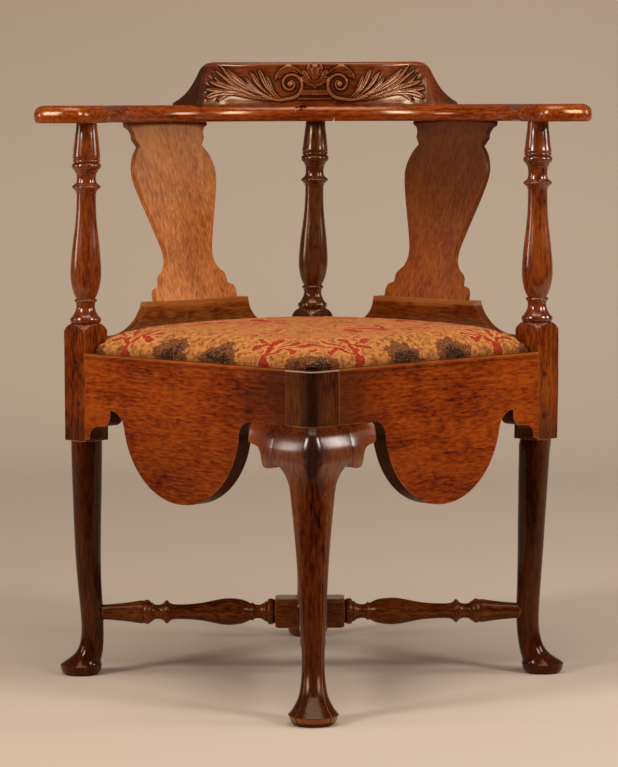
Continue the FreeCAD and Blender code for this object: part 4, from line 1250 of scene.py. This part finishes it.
def webbingFinish():
    sheet = Finish("wovenWebbing")
    u, v, _ = sheet.split(sheet.alongSides(sheet.objectSpace()))
    weave = sheet.maths("SINE", u * straps["threads"]) * sheet.maths("SINE", v * straps["threads"])
    colour = sheet.mix(sheet.step(weave, -0.5, 0.5), (0.30, 0.20, 0.10), (0.48, 0.35, 0.20))
    return sheet.surface({"Roughness": 0.9},
                         **{"Base Color": colour, "Normal": sheet.bump(weave, 0.4, 0.0004)})


# Three straps side by side: a flat rectangle carried along each, lowered by a shallow bowl, which is
# the sag times one less the square of the way out along each side of the frame
def strapMesh(name, floor, lengthwise):
    reach, half, thick = straps["reach"], straps["half"], straps["thick"]
    along = np.linspace(-reach, reach, straps["rows"])[:, None]
    section, lift = np.array([[-half, half, half, -half]]), np.array([0, 0, thick, thick])
    parts = []
    for place in straps["places"]:
        u, v = (place + section, along) if lengthwise else (along, place + section)
        bowl = straps["sag"] * (1 - (u / reach) ** 2) * (1 - (v / reach) ** 2)
        parts.append(tubeMesh(name + "Strap", seatPlace(u, v, floor + lift - bowl)))
    return merged(name, parts)


webbing = webbingFinish()
for name, node, floor, lengthwise in (
        ("webbingLower", "webbing_lower", straps["floor"], False),
        ("webbingUpper", "webbing_upper", straps["floor"] + straps["thick"], True)):
    piece = newPiece(name, strapMesh(name, floor, lengthwise), "slip_seat", webbing)
    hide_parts(node)

# Finishes of the pieces that stay as in the CAD
iron = Finish("darkIron").surface(
    {"Base Color": (0.10, 0.09, 0.08, 1.0), "Metallic": 1.0, "Roughness": 0.5})
plainPieces = {
    "crest_screws": iron, "front_rail_pegs": woods["Pegs"], "back_rail_pegs": woods["Pegs"],
    **{corner + "_corner_block": pineWood for corner in ("front", "right", "back", "left")},
    **{"seat_frame_" + side: pineWood
       for side in ("front_left", "front_right", "back_left", "back_right")}}
for node, material in plainPieces.items():
    nodes[node].material_slots[0].material = material
print("hidden woods and webbing made")


# Studio, in metres. The paper's colour holds painted light, paler towards the wall, in front and on
# the right, and painted shade, darker up the wall. Each softbox has a place, an aim, a width and
# height, and a power in watts.
studio = {
    "front": -0.8, "back": 2.2, "bend": 1.6, "top": 1.12, "half": 5.0, "rows": 30, "columns": 5,
    "floor": (0.535, 0.395, 0.288), "wall": (0.80, 0.61, 0.445), "high": (0.30, 0.23, 0.17),
    "near": (0.62, 0.465, 0.343), "right": (0.95, 0.80, 0.66), "air": (0.9, 0.85, 0.8, 1),
    "airStrength": 0.08,
    "lamps": {
        "rightSoftbox": ((2.6, -1.95, 2.1), (0, 0, 0.4), (0.8, 1.2), 56),
        "leftSoftbox": ((-2.6, -1.9, 2.0), (0, 0, 0.4), (0.8, 1.2), 65),
        "rightSideSoftbox": ((3.0, -0.1, 1.5), (0, 0.1, 0.6), (0.8, 0.9), 24),
        "leftSideSoftbox": ((-3.0, -0.3, 1.05), (0, 0, 0.4), (0.7, 0.8), 13),
        "topSoftbox": ((0, -0.5, 3.2), (0, 0.1, 0), (2.6, 1.8), 52)}}


# Paper that lies flat under the chair and curves up behind it, no higher than the picture needs
def studioSweep():
    rows = studio["rows"]
    turn = np.linspace(0, math.acos(1 - studio["top"] / studio["bend"]), rows)
    depth = np.concatenate([np.linspace(studio["front"], studio["back"], rows)[:-1],
                            studio["back"] + studio["bend"] * np.sin(turn)])
    height = np.concatenate([np.zeros(rows - 1), studio["bend"] * (1 - np.cos(turn))])
    across = np.linspace(studio["half"], -studio["half"], studio["columns"])
    grid = np.stack(np.broadcast_arrays(across[None, :], depth[:, None], height[:, None]), -1)
    mesh = gridMesh("studioSweep", grid)
    mesh.shade_smooth()
    sweep = bpy.data.objects.new("studioSweep", mesh)
    scene.collection.objects.link(sweep)
    sheet = Finish("studioPaper")
    x, y, z = sheet.split(sheet.objectSpace())
    # The paper's colour holds painted light and shade: paler towards the wall, darker up it, and paler
    # in front and on the right
    colour = sheet.mix(sheet.step(y, 0.6, 3.0), studio["floor"], studio["wall"])
    colour = sheet.stainsAndPaintedLight(colour, (sheet.step(z, 0.3, 1.1), 0.22, studio["high"]),
                           (1 - sheet.step(y, -0.5, 0.7), 0.5, studio["near"]),
                           (sheet.step(x, -0.6, 0.6), 0.12, studio["right"]))
    mesh.materials.append(sheet.surface({"Roughness": 0.95, "Specular IOR Level": 0.1},
                                        **{"Base Color": colour}))


def softbox(name, place, aim, size, power):
    lamp = bpy.data.lights.new(name, "AREA")
    lamp.shape = "RECTANGLE"
    lamp.size, lamp.size_y = size
    lamp.energy = power
    box = bpy.data.objects.new(name, lamp)
    scene.collection.objects.link(box)
    box.location = place
    box.rotation_euler = (Vector(aim) - Vector(place)).to_track_quat("-Z", "Y").to_euler()


studioSweep()
for name, values in studio["lamps"].items():
    softbox(name, *values)
world = bpy.data.worlds.new("studioAir")
scene.world = world
world.use_nodes = True
air = world.node_tree.nodes["Background"].inputs
air["Color"].default_value = studio["air"]
air["Strength"].default_value = studio["airStrength"]
scene.view_settings.view_transform = "Standard"
print("studio lit")
